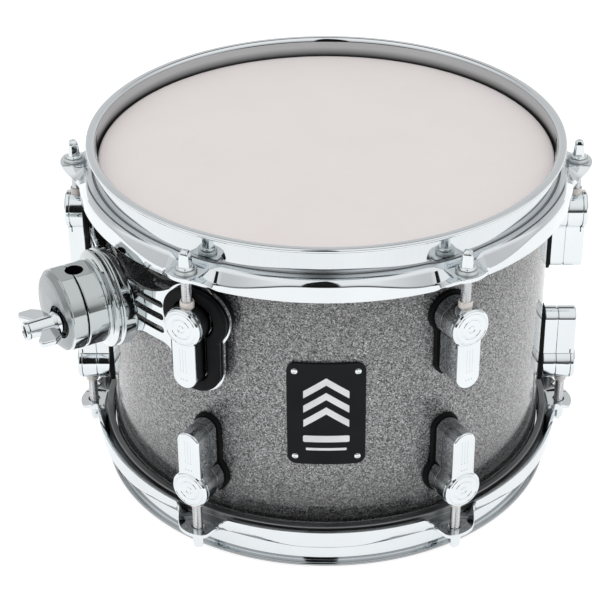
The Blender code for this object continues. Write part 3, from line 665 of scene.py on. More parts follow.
# ---------------------------------------------------------------- hoops
def hoop_section(alpha):
    """Both faces of the pressed sheet, alpha degrees from the centre of an ear, as one closed loop of (r, z)."""
    a = abs(alpha)
    w = min(1.0, max(0.0, (7.3 - a) / (7.3 - 2.7)))
    w = w * w * (3 - 2 * w)
    ear_reach = 13.65 * MM - 1.7 * MM * min(1.0, a / 3.0) ** 2
    g = min(1.0, max(0.0, (25.0 - a) / (25.0 - 7.5)))
    g = g * g * (3 - 2 * g)                          # the shoulder opens into a wide flank towards the ear
    upper = ((1 - w) * (135.82 - 2.2 * g) + w * 135.9, (1 - w) * -5.75 + w * -8.5)
    lower_bend = ((1 - w) * 137.75 + w * 142.5, (1 - w) * (-7.68 - 6.0 * g) + w * -8.5)
    ear_tip = (135.9 * MM + ear_reach, -8.5 * MM)
    hem = (137.75 * MM, -16.45 * MM)
    tip = tuple((1 - w) * a0 + w * a1 for a0, a1 in zip(hem, ear_tip))
    heel_z = (1 - w) * -5.75 + w * -6.1
    line = [(132.65 * MM, 9.7 * MM, 0), (129.55 * MM, 9.7 * MM, 1.3 * MM), (129.55 * MM, heel_z * MM, 1.9 * MM),
            (upper[0] * MM, upper[1] * MM, 3.3 * MM - 1.0 * MM * w), (lower_bend[0] * MM, lower_bend[1] * MM, 3.3 * MM), (tip[0], tip[1], 0)]
    path = fillet_path(line, seg=7, support=0.05 * MM, always=True)
    pts = np.array(path)
    d = np.gradient(pts, axis=0)
    d /= np.linalg.norm(d, axis=1)[:, None]
    normal = np.stack([-d[:, 1], d[:, 0]], 1)        # left of travel
    half = HOOP_T / 2
    one, two = pts + normal * half, pts - normal * half
    caps = []
    for index, sign in ((0, -1.0), (-1, 1.0)):
        c, t, m = pts[index], d[index] * sign, normal[index]
        bulge = 1.0 if index == 0 else 0.35
        arc = []
        for k in range(1, 6):
            s = math.cos(math.pi * k / 6)
            arc.append(c + m * half * s + t * half * bulge * math.sqrt(max(0.0, 1 - s ** 2 if index == 0 else 1 - s ** 6)))
        caps.append(arc)
    start, end = caps
    loop = list(one) + end + list(two[::-1]) + start[::-1]
    return [(float(r), float(z)) for r, z in loop]


sections = {}
stations = []
near = [0, 0.7, 1.4, 2.1, 2.5, 2.8, 3.05, 3.3, 3.55, 3.8, 4.05, 4.3, 4.55, 4.8, 5.05, 5.3, 5.6, 5.9, 6.2, 6.5, 6.8, 7.05, 7.3, 7.5]
for k in range(6):
    ear_az = 30.0 + 60.0 * k
    for alpha in [-a for a in reversed(near[1:])] + near:
        stations.append((ear_az + alpha, alpha))
    gap = 60.0 - 2 * near[-1]
    for i in range(1, 26):
        away = near[-1] + i * gap / 26
        stations.append((ear_az + away, min(away, 60.0 - away)))
rings = []
for az, alpha in stations:
    key = round(abs(alpha), 3)
    if key not in sections:
        sections[key] = hoop_section(alpha)
    s, c = math.sin(math.radians(az)), math.cos(math.radians(az))
    rings.append([(r * s, -r * c, z) for r, z in sections[key]])
hoop = skin("hoop_pressed", rings, [HOOP_CHROME], loop=True, angle=50)
ear_cuts = []
for k in range(6):
    p = at(30.0 + 60.0 * k) @ Vector((0, -ROD_CIRCLE_R, 0))
    ear_cuts.append((cylinder(0.0037, -0.020, 0.0, 28), Matrix.Translation((p.x, p.y, 0))))
hoop = carve(hoop, ear_cuts, "hoop_pressed_bored", angle=50)
put("batter_hoop_chromed", hoop, nodes=["batter_hoop"])
put("resonant_hoop_chromed", hoop, nodes=["resonant_hoop"], matrix=lower())


# ---------------------------------------------------------------- lugs
def lug_mesh(name, lines, dots):
    rows = [(-0.30, 129.6), (-0.05, 129.7), (0.0, 129.9), (0.0, 130.2), (0.0, 136.15), (-0.10, 136.40), (-0.50, 136.50),
            (-0.50, 137.15), (-0.10, 137.25), (0.0, 137.50), (0.0, 137.8), (0.0, 146.4), (0.0, 146.9), (-0.10, 147.35),
            (-0.32, 147.72), (-0.65, 147.98), (-1.05, 148.10), (-1.6, 148.14)]
    body = skin(name, [flat_ring(m * MM, r * MM) for m, r in rows], [CHROME])
    disc = lathe("disc", fillet_path([
        (0, 0.1400, 0), (9.6 * MM, 0.1400, 0), (9.6 * MM, 0.1459, 0), (10.75 * MM, 0.1459, 0.1 * MM), (10.95 * MM, 0.1463, 0.2 * MM),
        (10.95 * MM, 0.1478, 0.5 * MM), (10.1 * MM, 0.14880, 0.5 * MM), (9.45 * MM, 0.14880, 0.15 * MM), (9.25 * MM, 0.14845, 0.1 * MM),
        (8.75 * MM, 0.14845, 0.1 * MM), (8.5 * MM, 0.14875, 0.2 * MM), (6.1 * MM, 0.14880, 0.2 * MM), (5.85 * MM, 0.14850, 0.1 * MM),
        (5.35 * MM, 0.14850, 0.1 * MM), (5.1 * MM, 0.14878, 0.2 * MM), (2.4 * MM, 0.14880, 0.2 * MM), (2.15 * MM, 0.14855, 0.1 * MM),
        (1.8 * MM, 0.14855, 0.1 * MM), (1.55 * MM, 0.14876, 0.2 * MM), (0, 0.14880, 0)], seg=3, support=0.06 * MM),
        72, [CHROME], closed=False, radial=True)
    disc.transform(Matrix.Translation((0, 0, LUG_DISC_Z)))
    groove = lathe("cut", [(10.35 * MM, 0.14525), (13.5 * MM, 0.14525), (13.5 * MM, 0.1459), (10.35 * MM, 0.1459)], 72, [], radial=True)
    groove.transform(Matrix.Translation((0, 0, LUG_DISC_Z)))
    shave = lathe("cut", [(10.2 * MM, 0.14585), (14.0 * MM, 0.14585), (14.0 * MM, 0.1500), (10.2 * MM, 0.1500)], 72, [], radial=True)
    shave.transform(Matrix.Translation((0, 0, LUG_DISC_Z)))
    # the front of the disc is a cap of its own: the body is cut back round it on its free side
    keep_stem = block(-0.02, 0.02, 0.140, 0.152, LUG_DISC_Z - 0.0085, LUG_DISC_Z + 0.02)
    shave_free = carve(shave, [], "cut")
    shave_obj = scratch(shave_free)
    keep_obj = scratch(keep_stem)
    mod = shave_obj.modifiers.new("i", "BOOLEAN")
    mod.operation, mod.solver, mod.object = "INTERSECT", "EXACT", keep_obj
    graph = bpy.context.evaluated_depsgraph_get()
    shave_cut = bpy.data.meshes.new_from_object(shave_obj.evaluated_get(graph))
    bpy.data.objects.remove(shave_obj)
    bpy.data.objects.remove(keep_obj)
    body = carve(body, [groove, shave_cut], name)
    cuts = [(cylinder(0.0039, -0.0330, 0.0, 32), Matrix.Translation((0, -ROD_CIRCLE_R, 0))),
            (cylinder(0.0034, -0.0700, -0.0320, 24), Matrix.Translation((0, -ROD_CIRCLE_R, 0)))]
    for x in (-1.75, 0.0, 1.75):
        cuts.append(block((x - 0.17) * MM, (x + 0.17) * MM, 0.14795, 0.1495, lines[0], lines[1]))
        cuts.append((radial_cylinder(0.42 * MM, 0.14790, 0.1495, 12), Matrix.Translation((x * MM, 0, dots))))
    out = carve(body, cuts, name, union=[disc])
    out.materials.clear()
    out.materials.append(LUG_CHROME)
    return out


lug_up = lug_mesh("lug_cast_batter", (-0.0652, -0.0512), -0.0698)
lug_down = lug_mesh("lug_cast_resonant", (-0.0705, -0.0560), -0.0518)

# gaskets: flat against the lug, hollowed to the shell behind
pad_rows = [(1.4, 0.0, "back"), (1.4, 0.6, "mix"), (1.4, 1.9, "flat"), (1.25, 2.2, "flat"), (0.9, 2.3, "flat")]
rings = []
for m, h, kind in pad_rows:
    ring = []
    for t, z in keyhole(m * MM):
        back = math.sqrt(max((SHELL_R + 0.00005) ** 2 - t ** 2, 0))
        flat = 0.1293
        depth = {0.0: 0.0, 0.6: 0.3, 1.9: 0.85, 2.2: 0.97, 2.3: 1.0}[h]
        ring.append((t, -(back + (flat - back) * depth), z))
    rings.append(ring)
bm = bmesh.new()
rows = [[bm.verts.new(p) for p in ring] for ring in rings]
count = len(rows[0])
for low, high in zip(rows, rows[1:]):
    for k in range(count):
        j = (k + 1) % count
        bm.faces.new((low[k], low[j], high[j], high[k]))
bm.faces.new(rows[-1])
back_face = bm.faces.new(list(reversed(rows[0])))
bmesh.ops.triangulate(bm, faces=[back_face])
gasket = tidy(bm, "lug_gasket_moulded", [GASKET], 38)

bushing = lathe("swivel_bushing_turned", fillet_path([
    (2.85 * MM, -0.0325, 0), (3.75 * MM, -0.0325, 0.2 * MM), (3.75 * MM, -0.0256, 0.15 * MM), (3.60 * MM, -0.0254, 0.1 * MM),
    (3.60 * MM, -0.0245, 0.4 * MM), (2.85 * MM, -0.0245, 0.3 * MM)], closed=True, seg=4), 40, [NYLON])

for place, az in LUG_AZ.items():
    for side, carry in (("batter", Matrix.Identity(4)), ("resonant", lower())):
        here = at(az) @ carry
        put(f"{side}_lug_cast_{place}", lug_up if side == "batter" else lug_down, nodes=[f"{side}_lug_{place}"],
            matrix=here)
        put(f"{side}_swivel_bushing_{place}", bushing, matrix=here @ Matrix.Translation((0, -ROD_CIRCLE_R, 0)))
        if side == "batter" and place in MOUNT_LUGS:
            continue
        put(f"{side}_lug_gasket_moulded_{place}", gasket, nodes=[f"{side}_lug_gasket_{place}"], matrix=here)


# ---------------------------------------------------------------- tension rods and washers
def rod_mesh():
    """Shank with a real one millimetre thread, a turned collar and a square key head with a domed end."""
    bm = bmesh.new()
    seg = 24
    z_top, z_tip = 2.2 * MM, -0.0533 - EAR_Z
    pitch, crest, root = 1.0 * MM, 2.72 * MM, 2.36 * MM
    start, stop = z_top - 3.4 * MM, z_tip + 0.8 * MM
    heights = [z_top + 0.2 * MM, z_top - 2.9 * MM]
    count = int((start - stop) / (pitch / 6))
    heights += [start - (start - stop) * i / count for i in range(count + 1)]
    rows = []
    for i, z in enumerate(heights):
        row = []
        for k in range(seg):
            a = 2 * math.pi * k / seg
            if i < 2:
                r = 2.6 * MM
            else:
                phase = ((z / pitch) - k / seg) % 1.0
                tooth = min(1.0, max(0.0, 1.5 * abs(phase * 2 - 1) - 0.2))
                fade = min(1.0, (i - 2) / 6.0)
                r = (crest - (crest - root) * (1 - tooth) * fade) * (1.0 - 0.12 * max(0.0, (i - len(heights) + 5) / 5))
            row.append(bm.verts.new((r * math.cos(a), r * math.sin(a), z)))
        rows.append(row)
    for low, high in zip(rows, rows[1:]):
        for k in range(seg):
            j = (k + 1) % seg
            bm.faces.new((low[k], low[j], high[j], high[k]))
    tip = [bm.verts.new((v.co.x * 0.72, v.co.y * 0.72, z_tip)) for v in rows[-1]]
    for k in range(seg):
        j = (k + 1) % seg
        bm.faces.new((rows[-1][k], rows[-1][j], tip[j], tip[k]))
    bm.faces.new(list(reversed(tip)))
    bm.faces.new(rows[0])
    shank = tidy(bm, "shank", [STEEL, KEY_STEEL], 60)
    collar = lathe("collar", fillet_path([
        (0, 2.05 * MM, 0), (4.6 * MM, 2.05 * MM, 0.2 * MM), (4.75 * MM, 2.3 * MM, 0.2 * MM), (4.75 * MM, 2.75 * MM, 0.3 * MM),
        (4.3 * MM, 3.2 * MM, 0.4 * MM), (3.9 * MM, 3.45 * MM, 0.3 * MM), (0, 3.45 * MM, 0)], seg=4, support=0.05 * MM),
        48, [STEEL, KEY_STEEL], closed=False, ids=[1] * 60)
    bm = bmesh.new()
    levels = [(3.2, 1.0, 1.0), (3.75, 1.0, 1.0), (4.1, 0.95, 1.0), (7.0, 0.90, 0.97), (9.3, 0.84, 0.93), (10.2, 0.80, 0.88), (10.9, 0.73, 0.82),
              (11.5, 0.63, 0.72), (11.95, 0.50, 0.58), (12.25, 0.36, 0.42), (12.45, 0.20, 0.24), (12.52, 0.04, 0.05)]
    rows = []
    for z, f, edge in levels:
        row = []
        for k in range(48):
            a = 2 * math.pi * k / 48
            flat = 3.25 * MM / max(abs(math.cos(a)), abs(math.sin(a)))
            r = min(flat * f, 3.80 * MM * min(f * 1.04, edge))
            row.append(bm.verts.new((r * math.cos(a), r * math.sin(a), z * MM)))
        rows.append(row)
    for low, high in zip(rows, rows[1:]):
        for k in range(48):
            j = (k + 1) % 48
            bm.faces.new((low[k], low[j], high[j], high[k]))
    bm.faces.new(list(reversed(rows[0])))
    bm.faces.new(rows[-1])
    for face in bm.faces:
        face.material_index = 1
    key = tidy(bm, "key", [STEEL, KEY_STEEL], 28)
    out = carve(shank, [], "tension_rod_threaded", angle=32, union=[collar, key])
    return out


rod = rod_mesh()
washer = lathe("rod_washer_turned", fillet_path([
    (3.25 * MM, 0.05 * MM, 0.1 * MM), (5.9 * MM, 0.05 * MM, 0.25 * MM), (6.1 * MM, 0.5 * MM, 0.3 * MM), (6.1 * MM, 1.35 * MM, 0.4 * MM),
    (5.6 * MM, 1.95 * MM, 0.4 * MM), (3.25 * MM, 2.0 * MM, 0.2 * MM)], closed=True, seg=4), 56, [ZINC])
for index, (place, az) in enumerate(LUG_AZ.items()):
    for side, carry in (("batter", Matrix.Identity(4)), ("resonant", lower())):
        here = at(az) @ carry @ Matrix.Translation((0, -ROD_CIRCLE_R, EAR_Z))
        twist = Matrix.Rotation(math.radians((37 * index + (11 if side == "batter" else 58)) % 90), 4, "Z")
        put(f"{side}_tension_rod_{place}", rod, body=f"{side}_rod_{place}", nodes=[f"{side}_rod_{place}"],
            matrix=here @ twist, weigh=False)
        put(f"{side}_washer_{place}", washer, body=f"{side}_rod_washer_{place}", nodes=[f"{side}_rod_washer_{place}"],
            matrix=here)

# ---------------------------------------------------------------- screws that hold the lugs, inside the shell
screw_profile = fillet_path([(0, 0.1226, 0), (2.4 * MM, 0.1226, 0), (2.4 * MM, 0.1216, 0), (5.5 * MM, 0.1216, 0.2 * MM),
                             (5.5 * MM, 0.1206, 0.3 * MM), (3.9 * MM, 0.1206, 0), (3.7 * MM, 0.1190, 0.8 * MM), (1.5 * MM, 0.1181, 0.4 * MM),
                             (1.5 * MM, 0.1192, 0), (0, 0.1192, 0)], seg=4)
inner_screw = lathe("lug_fixing_screw", screw_profile, 36, [KEY_STEEL], closed=False, radial=True)
for place, az in LUG_AZ.items():
    for side, carry in (("batter", Matrix.Identity(4)), ("resonant", lower())):
        for where, z in (("outer", LUG_DISC_Z), ("inner", LUG_STEM_Z)):
            put(f"{side}_lug_screw_{where}_{place}", inner_screw, matrix=at(az) @ carry @ Matrix.Translation((0, 0, z)))


# ---------------------------------------------------------------- wrapped plates: badge and mount plate
def inside(poly, x, y):
    hit = False
    for (x0, y0), (x1, y1) in zip(poly, poly[1:] + poly[:1]):
        if (y0 > y) != (y1 > y) and x < (x1 - x0) * (y - y0) / (y1 - y0) + x0:
            hit = not hit
    return hit


def wrapped_plate(name, outlines, test, r_in, r_out, ref, spans, mats, bevel=None, angle=38):
    """A sheet of even thickness on the drum's curve, cut along outlines. test(s, z) says where there is material."""
    points, edges = [], []
    for poly in outlines:
        base = len(points)
        points += [Vector(p) for p in poly]
        edges += [(base + i, base + (i + 1) % len(poly)) for i in range(len(poly))]
    low = min(p.y for p in points) - 0.001
    high = max(p.y for p in points) + 0.001
    for s in spans:
        edges.append((len(points), len(points) + 1))
        points += [Vector((s, low)), Vector((s, high))]
    out = delaunay_2d_cdt(points, edges, [], 0, 1e-7)
    flat, faces = [tuple(v) for v in out[0]], [tuple(f) for f in out[2]]
    bm = bmesh.new()
    made = {}

    def vert(i, r):
        if (i, r) not in made:
            s, z = flat[i]
            made[i, r] = bm.verts.new((r * math.sin(s / ref), -r * math.cos(s / ref), z))
        return made[i, r]

    side = {}
    for f in faces:
        a, b, c = (flat[i] for i in f)
        if abs((b[0] - a[0]) * (c[1] - a[1]) - (b[1] - a[1]) * (c[0] - a[0])) < 1e-13:
            continue
        if not test((a[0] + b[0] + c[0]) / 3, (a[1] + b[1] + c[1]) / 3):
            continue
        bm.faces.new([vert(i, r_out) for i in f])
        bm.faces.new([vert(i, r_in) for i in reversed(f)])
        for i, j in zip(f, f[1:] + f[:1]):
            side.setdefault((min(i, j), max(i, j)), []).append((i, j))
    for users in side.values():
        if len(users) == 1:
            i, j = users[0]
            bm.faces.new((vert(i, r_in), vert(j, r_in), vert(j, r_out), vert(i, r_out)))
    if bevel:
        bmesh.ops.recalc_face_normals(bm, faces=bm.faces)
        hard = [e for e in bm.edges if e.is_manifold and e.calc_face_angle(0) > math.radians(60)]
        bmesh.ops.bevel(bm, geom=hard, offset=bevel[0], segments=bevel[1], profile=0.5, affect="EDGES", clamp_overlap=True)
    return tidy(bm, name, mats, angle)


def rounded_box(cx, cz, w, h, r, n=6):
    pts = []
    for sx, sz, a0 in ((1, 1, 0), (-1, 1, 90), (-1, -1, 180), (1, -1, 270)):
        for i in range(n + 1):
            a = math.radians(a0 + 90 * i / n)
            pts.append((cx + sx * (w / 2 - r) + r * math.cos(a), cz + sz * (h / 2 - r) + r * math.sin(a)))
    return pts


def span_list(ref, lo, hi, step):
    k0, k1 = math.ceil(lo / ref / math.radians(step)), math.floor(hi / ref / math.radians(step))
    return [ref * math.radians(step * k) for k in range(k0, k1 + 1)]


badge_outline = rounded_box(0, BADGE_Z, BADGE_W, BADGE_H, BADGE_CORNER, 8)
badge_mesh = wrapped_plate("badge_plate_black", [badge_outline], lambda s, z: inside(badge_outline, s, z), 0.12705, 0.12850,
                           SHELL_R, span_list(SHELL_R, -0.02, 0.02, 1.5), [BADGE_BLACK], bevel=(0.28 * MM, 3))
put("badge_plate_black", badge_mesh, nodes=["badge"], matrix=at(BADGE_AZ))

# a plain ornament in white ink: a stack of chevrons over two bars
motif = []
for k in range(3):
    top_z = BADGE_Z + 0.0235 - 0.0092 * k
    motif.append([(-0.0120, top_z - 0.0085), (-0.0120, top_z - 0.0130), (0.0, top_z - 0.0045), (0.0120, top_z - 0.0130),
                  (0.0120, top_z - 0.0085), (0.0, top_z)])
motif.append(rounded_box(0, BADGE_Z - 0.0155, 0.0245, 0.0042, 0.0008, 3))
motif.append(rounded_box(0, BADGE_Z - 0.0222, 0.0215, 0.0016, 0.0004, 3))
motif = [poly if sum(x0 * y1 - x1 * y0 for (x0, y0), (x1, y1) in zip(poly, poly[1:] + poly[:1])) > 0 else poly[::-1] for poly in motif]
motif_mesh = wrapped_plate("badge_ornament", motif, lambda s, z: any(inside(p, s, z) for p in motif), 0.12846, 0.12856,
                           SHELL_R, span_list(SHELL_R, -0.02, 0.02, 1.5), [BADGE_WHITE])
put("badge_ornament_white", motif_mesh, matrix=at(BADGE_AZ), weigh=False)

badge_screw = lathe("badge_screw_turned", fillet_path([
    (0, 0.1283, 0), (1.75 * MM, 0.1283, 0), (1.75 * MM, 0.12875, 0.25 * MM), (1.15 * MM, 0.12905, 0.2 * MM), (0.85 * MM, 0.12905, 0.1 * MM),
    (0.8 * MM, 0.1286, 0.05 * MM), (0, 0.1285, 0)], seg=3, support=0.03 * MM), 28, [KEY_STEEL], closed=False, radial=True)
for label, sx, sz in (("top_left", -1, 1), ("top_right", 1, 1), ("bottom_left", -1, -1), ("bottom_right", 1, -1)):
    s = sx * (BADGE_W / 2 - 0.0042)
    put(f"badge_screw_{label}", badge_screw,
        matrix=at(BADGE_AZ + math.degrees(s / SHELL_R)) @ Matrix.Translation((0, 0, BADGE_Z + sz * (BADGE_H / 2 - 0.0050))))

# ---------------------------------------------------------------- mount isolators
iso_rows = [(0.5, 127.15), (6.4, 127.15), (6.9, 127.4), (7.0, 127.9), (7.0, 131.8), (6.8, 132.3), (6.2, 132.6), (3.2, 132.6), (2.5, 132.7),
            (2.4, 132.9), (2.4, 135.1), (2.5, 135.25), (3.2, 135.35), (6.2, 135.35), (6.7, 135.5), (7.0, 135.9), (7.0, 137.2),
            (6.85, 137.9), (6.45, 138.35), (5.9, 138.55), (5.3, 138.6), (1.6, 138.6), (1.0, 138.5), (0.6, 138.2), (0.45, 137.7),
            (0.4, 137.0), (0.4, 128.0)]
isolator = skin("mount_isolator_moulded", [wrap_ring(m * MM, r * MM) for m, r in iso_rows], [RUBBER], loop=True, angle=60)
for place in MOUNT_LUGS:
    put(f"mount_isolator_moulded_{place}", isolator, nodes=[f"mount_isolator_{place}"],
        matrix=at(LUG_AZ[place]), weigh=False)

# ---------------------------------------------------------------- mount plate
PLATE_IN, PLATE_OUT = 0.1330, 0.1350
ref = PLATE_OUT


def shifted(poly, az):
    return [(t * ref / SHELL_R + ref * math.radians(az), z) for t, z in poly]


def arc(cx, cz, r, a0, a1, n):
    return [(cx + r * math.cos(math.radians(a0 + (a1 - a0) * i / n)), cz + r * math.sin(math.radians(a0 + (a1 - a0) * i / n)))
            for i in range(n + 1)]


def corner_web(r, away, circle_s, circle_z, circle_r, edge, side):
    """Fills the corner between a circle and a straight edge with a concave curve of radius r, tangent to both."""
    up = 1 if edge == PLATE_TOP else -1
    cz = edge + up * r
    cs = circle_s + away * math.sqrt((circle_r + r) ** 2 - (cz - circle_z) ** 2)
    toward = math.degrees(math.atan2(circle_z - cz, circle_s - cs))
    curve = arc(cs, cz, r, -90.0 * up, toward if abs(toward + 90.0 * up) < 180 else toward - 360.0 * math.copysign(1, toward), 18)
    middle = (PLATE_TOP + PLATE_BOTTOM) / 2
    return [(side * s, z) for s, z in curve + [(curve[-1][0], middle), (curve[0][0], middle)]]


PLATE_TOP, PLATE_BOTTOM, BOSS_R = -0.0354, -0.0621, 0.0262
ends = [shifted(keyhole(8.2 * MM), az) for az in (-30.0, 30.0)]
openings = [shifted(keyhole(2.8 * MM), az) for az in (-30.0, 30.0)]
reach = ref * math.radians(30.0)
bridge = [(-reach, PLATE_BOTTOM), (reach, PLATE_BOTTOM), (reach, PLATE_TOP), (-reach, PLATE_TOP)]
boss = [(BOSS_R * math.cos(2 * math.pi * i / 72), MOUNT_Z + BOSS_R * math.sin(2 * math.pi * i / 72)) for i in range(72)]
slots = [rounded_box(side * 0.0370, z, 0.0236, 0.0040, 0.00199, 8) for side in (-1, 1) for z in (-0.0394, -0.0471, -0.0550)]
stem_edge = reach - LUG_STEM_R - 8.2 * MM
webs = []
for side in (-1, 1):
    webs.append(corner_web(0.045, -1, reach, LUG_DISC_Z, LUG_DISC_R + 8.2 * MM, PLATE_TOP, side))
    webs.append(corner_web(0.015, 1, 0.0, MOUNT_Z, BOSS_R, PLATE_BOTTOM, side))
    curve = arc(stem_edge - 0.009, PLATE_BOTTOM - 0.009, 0.009, 90.0, 0.0, 16)
    webs.append([(side * s, z) for s, z in curve + [(stem_edge + 0.001, PLATE_BOTTOM - 0.009), (stem_edge + 0.001, -0.050), (curve[0][0], -0.050)]])
plate_mesh = wrapped_plate(
    "mount_plate_pressed", ends + openings + [bridge, boss] + slots + webs,
    lambda s, z: not any(inside(h, s, z) for h in openings + slots) and any(inside(p, s, z) for p in ends + [bridge, boss] + webs),
    PLATE_IN, PLATE_OUT, ref, span_list(ref, -0.095, 0.095, 1.5), [CHROME], bevel=(0.45 * MM, 3), angle=38)
put("mount_plate_chromed", plate_mesh, nodes=["mount_plate"], matrix=at(MOUNT_AZ))

# ---------------------------------------------------------------- clamp
MOUNT = at(MOUNT_AZ) @ Matrix.Translation((0, 0, MOUNT_Z))
base_profile = fillet_path([
    (0, 0.1310, 0), (27.6 * MM, 0.1310, 0), (27.6 * MM, 0.1393, 0.9 * MM), (26.5 * MM, 0.1400, 0.3 * MM), (26.2 * MM, 0.1408, 0.3 * MM),
    (27.2 * MM, 0.1415, 0.4 * MM), (27.2 * MM, 0.1434, 1.0 * MM), (25.0 * MM, 0.1444, 0.4 * MM), (24.0 * MM, 0.1446, 0.3 * MM),
    (23.1 * MM, 0.1450, 0.4 * MM), (22.5 * MM, 0.1458, 0.2 * MM), (22.5 * MM, 0.1464, 0.2 * MM), (23.0 * MM, 0.1469, 0.4 * MM),
    (23.0 * MM, 0.1570, 0.0), (22.6 * MM, 0.15765, 0.3 * MM), (22.2 * MM, 0.1578, 0.2 * MM), (0, 0.1578, 0)], seg=4, support=0.08 * MM)
base = lathe("clamp_base", base_profile, 144, [CLAMP_CHROME, LINER], closed=False, radial=True)
saddle = lathe("cut", [(0, -0.09), (0.1353, -0.09), (0.1353, 0.09), (0, 0.09)], 240, [], closed=False)
saddle.transform(MOUNT.inverted())
arm = lathe("cut", [(0, -0.04), (ARM_HOLE_R, -0.04), (ARM_HOLE_R, 0.04), (0, 0.04)], 48, [], closed=False)
arm.transform(Matrix.Translation((0, -ARM_HOLE_AT, 0)))
arm.polygons.foreach_set("material_index", [1] * len(arm.polygons))
flat_up = block(-0.03, 0.03, 0.1469, 0.1668, CLAMP_FLAT, 0.04)
flat_down = block(-0.03, 0.03, 0.1469, 0.1668, -0.04, -CLAMP_FLAT)
screw_hole = radial_cylinder(0.0042, 0.1462, 0.18, 32)
screw_hole.transform(Matrix.Translation((SCREW_T, 0, 0)))
base = carve(base, [saddle, flat_up, flat_down, arm, screw_hole], "clamp_base_cast", angle=32, bevel=(0.25 * MM, 2, 50))
put("clamp_base_cast", base, nodes=["clamp_base"], matrix=MOUNT)

split = CLAMP_SPLIT + JAW_GAP
jaw_profile = fillet_path([
    (0, split, 0), (22.2 * MM, split, 0.2 * MM), (22.7 * MM, split + 0.15 * MM, 0.3 * MM), (23.0 * MM, split + 0.6 * MM, 0.3 * MM),
    (23.0 * MM, 0.1660, 0.3 * MM), (22.4 * MM, 0.1664, 0.2 * MM), (22.3 * MM, 0.1668, 0.2 * MM), (22.6 * MM, 0.1672, 0.4 * MM),
    (19.9 * MM, 0.1696, 2.0 * MM), (17.6 * MM, 0.1705, 1.5 * MM), (10.0 * MM, 0.17165, 6.0 * MM), (0, 0.1720, 0)], seg=6, support=0.08 * MM)
face_ids = [2 if min(a[1], b[1]) > 0.16735 else 0 for a, b in zip(jaw_profile, jaw_profile[1:])]
jaw = lathe("clamp_jaw", jaw_profile, 144, [CLAMP_CHROME, LINER, CLAMP_FACE], closed=False, radial=True, ids=face_ids)
seat = radial_cylinder(0.0092, SCREW_SEAT - 0.0004, 0.18, 48)
seat.transform(Matrix.Translation((SCREW_T, 0, 0)))
jaw = carve(jaw, [flat_up, flat_down, arm, screw_hole, seat], "clamp_jaw_cast", angle=32, bevel=(0.25 * MM, 2, 50))
put("clamp_jaw_cast", jaw, body="clamp_jaw", nodes=["clamp_jaw"], matrix=MOUNT)

# wing screw: barrel with an open end, a pressed washer and two cast wings
screw_steps = 48
barrel = lathe("barrel", fillet_path([
    (0, 0.1480, 0), (2.9 * MM, 0.1480, 0.2 * MM), (3.6 * MM, 0.1488, 0.2 * MM), (3.6 * MM, SCREW_SEAT + 0.0004, 0), (5.0 * MM, SCREW_SEAT + 0.0004, 0),
    (5.0 * MM, 0.1700, 0.6 * MM), (6.3 * MM, 0.1712, 0.6 * MM), (6.3 * MM, 0.1732, 0.8 * MM), (5.1 * MM, 0.1748, 0.8 * MM),
    (4.8 * MM, 0.1880, 0.4 * MM), (5.2 * MM, 0.1888, 0.3 * MM), (5.2 * MM, 0.1905, 0.4 * MM), (4.1 * MM, 0.1905, 0.3 * MM),
    (3.3 * MM, 0.1897, 0.3 * MM), (3.3 * MM, 0.1840, 0.3 * MM), (0, 0.1835, 0)], seg=4, support=0.08 * MM),
    screw_steps, [CHROME], closed=False, radial=True)
wing_line = [(-2.0, 172.6, 0), (-9.0, 173.2, 2.0), (-14.6, 175.4, 2.4), (-17.9, 179.6, 2.4), (-17.8, 187.2, 1.9), (-14.0, 188.4, 1.9),
             (-8.6, 184.6, 3.0), (-4.0, 182.0, 1.0), (4.0, 182.0, 1.0), (8.6, 184.6, 3.0), (14.0, 188.4, 1.9), (17.8, 187.2, 1.9),
             (17.9, 179.6, 2.4), (14.6, 175.4, 2.4), (9.0, 173.2, 2.0), (2.0, 172.6, 0)]
rounded = fillet_path([(x * MM, y * MM, r * MM) for x, y, r in wing_line], seg=5, support=0)
outline = [rounded[0]]
for point in rounded[1:]:
    gap = math.dist(point, outline[-1])
    if gap < 0.2 * MM:
        continue
    pieces = max(1, round(gap / (0.9 * MM)))
    start = outline[-1]
    outline += [(start[0] + (point[0] - start[0]) * k / pieces, start[1] + (point[1] - start[1]) * k / pieces) for k in range(1, pieces + 1)]
outline = np.array(outline)


def inset(points, d):
    nxt, prv = np.roll(points, -1, axis=0), np.roll(points, 1, axis=0)
    tangent = nxt - prv
    tangent /= np.linalg.norm(tangent, axis=1)[:, None]
    normal = np.stack([tangent[:, 1], -tangent[:, 0]], 1)
    area = np.sum(points[:, 0] * nxt[:, 1] - nxt[:, 0] * points[:, 1])
    return points - normal * d * (1 if area > 0 else -1)


wing_rings = []
for k in range(9):
    f = math.pi * (k / 8 - 0.5)
    shape = inset(outline, 0.9 * MM * (1 - math.cos(f)))
    wing_rings.append([(x, -y, 1.75 * MM * math.sin(f)) for x, y in shape])
wings = skin("wings", wing_rings, [CHROME], angle=60)
screw_mesh = carve(barrel, [], "wing_screw_cast", angle=34, union=[wings])
put("wing_screw_cast", screw_mesh, body="wing_screw", nodes=["wing_screw"],
    matrix=MOUNT @ Matrix.Translation((SCREW_T, 0, 0)))
collar = lathe("wing_screw_washer", fillet_path([
    (5.1 * MM, SCREW_SEAT, 0.1 * MM), (8.0 * MM, SCREW_SEAT, 0.3 * MM), (8.0 * MM, SCREW_SEAT + 0.0016, 0.5 * MM),
    (6.6 * MM, SCREW_SEAT + 0.0022, 0.4 * MM), (6.3 * MM, SCREW_SEAT + 0.0032, 0.3 * MM), (5.1 * MM, SCREW_SEAT + 0.0032, 0.2 * MM)],
    closed=True, seg=4), screw_steps, [LINER], radial=True)
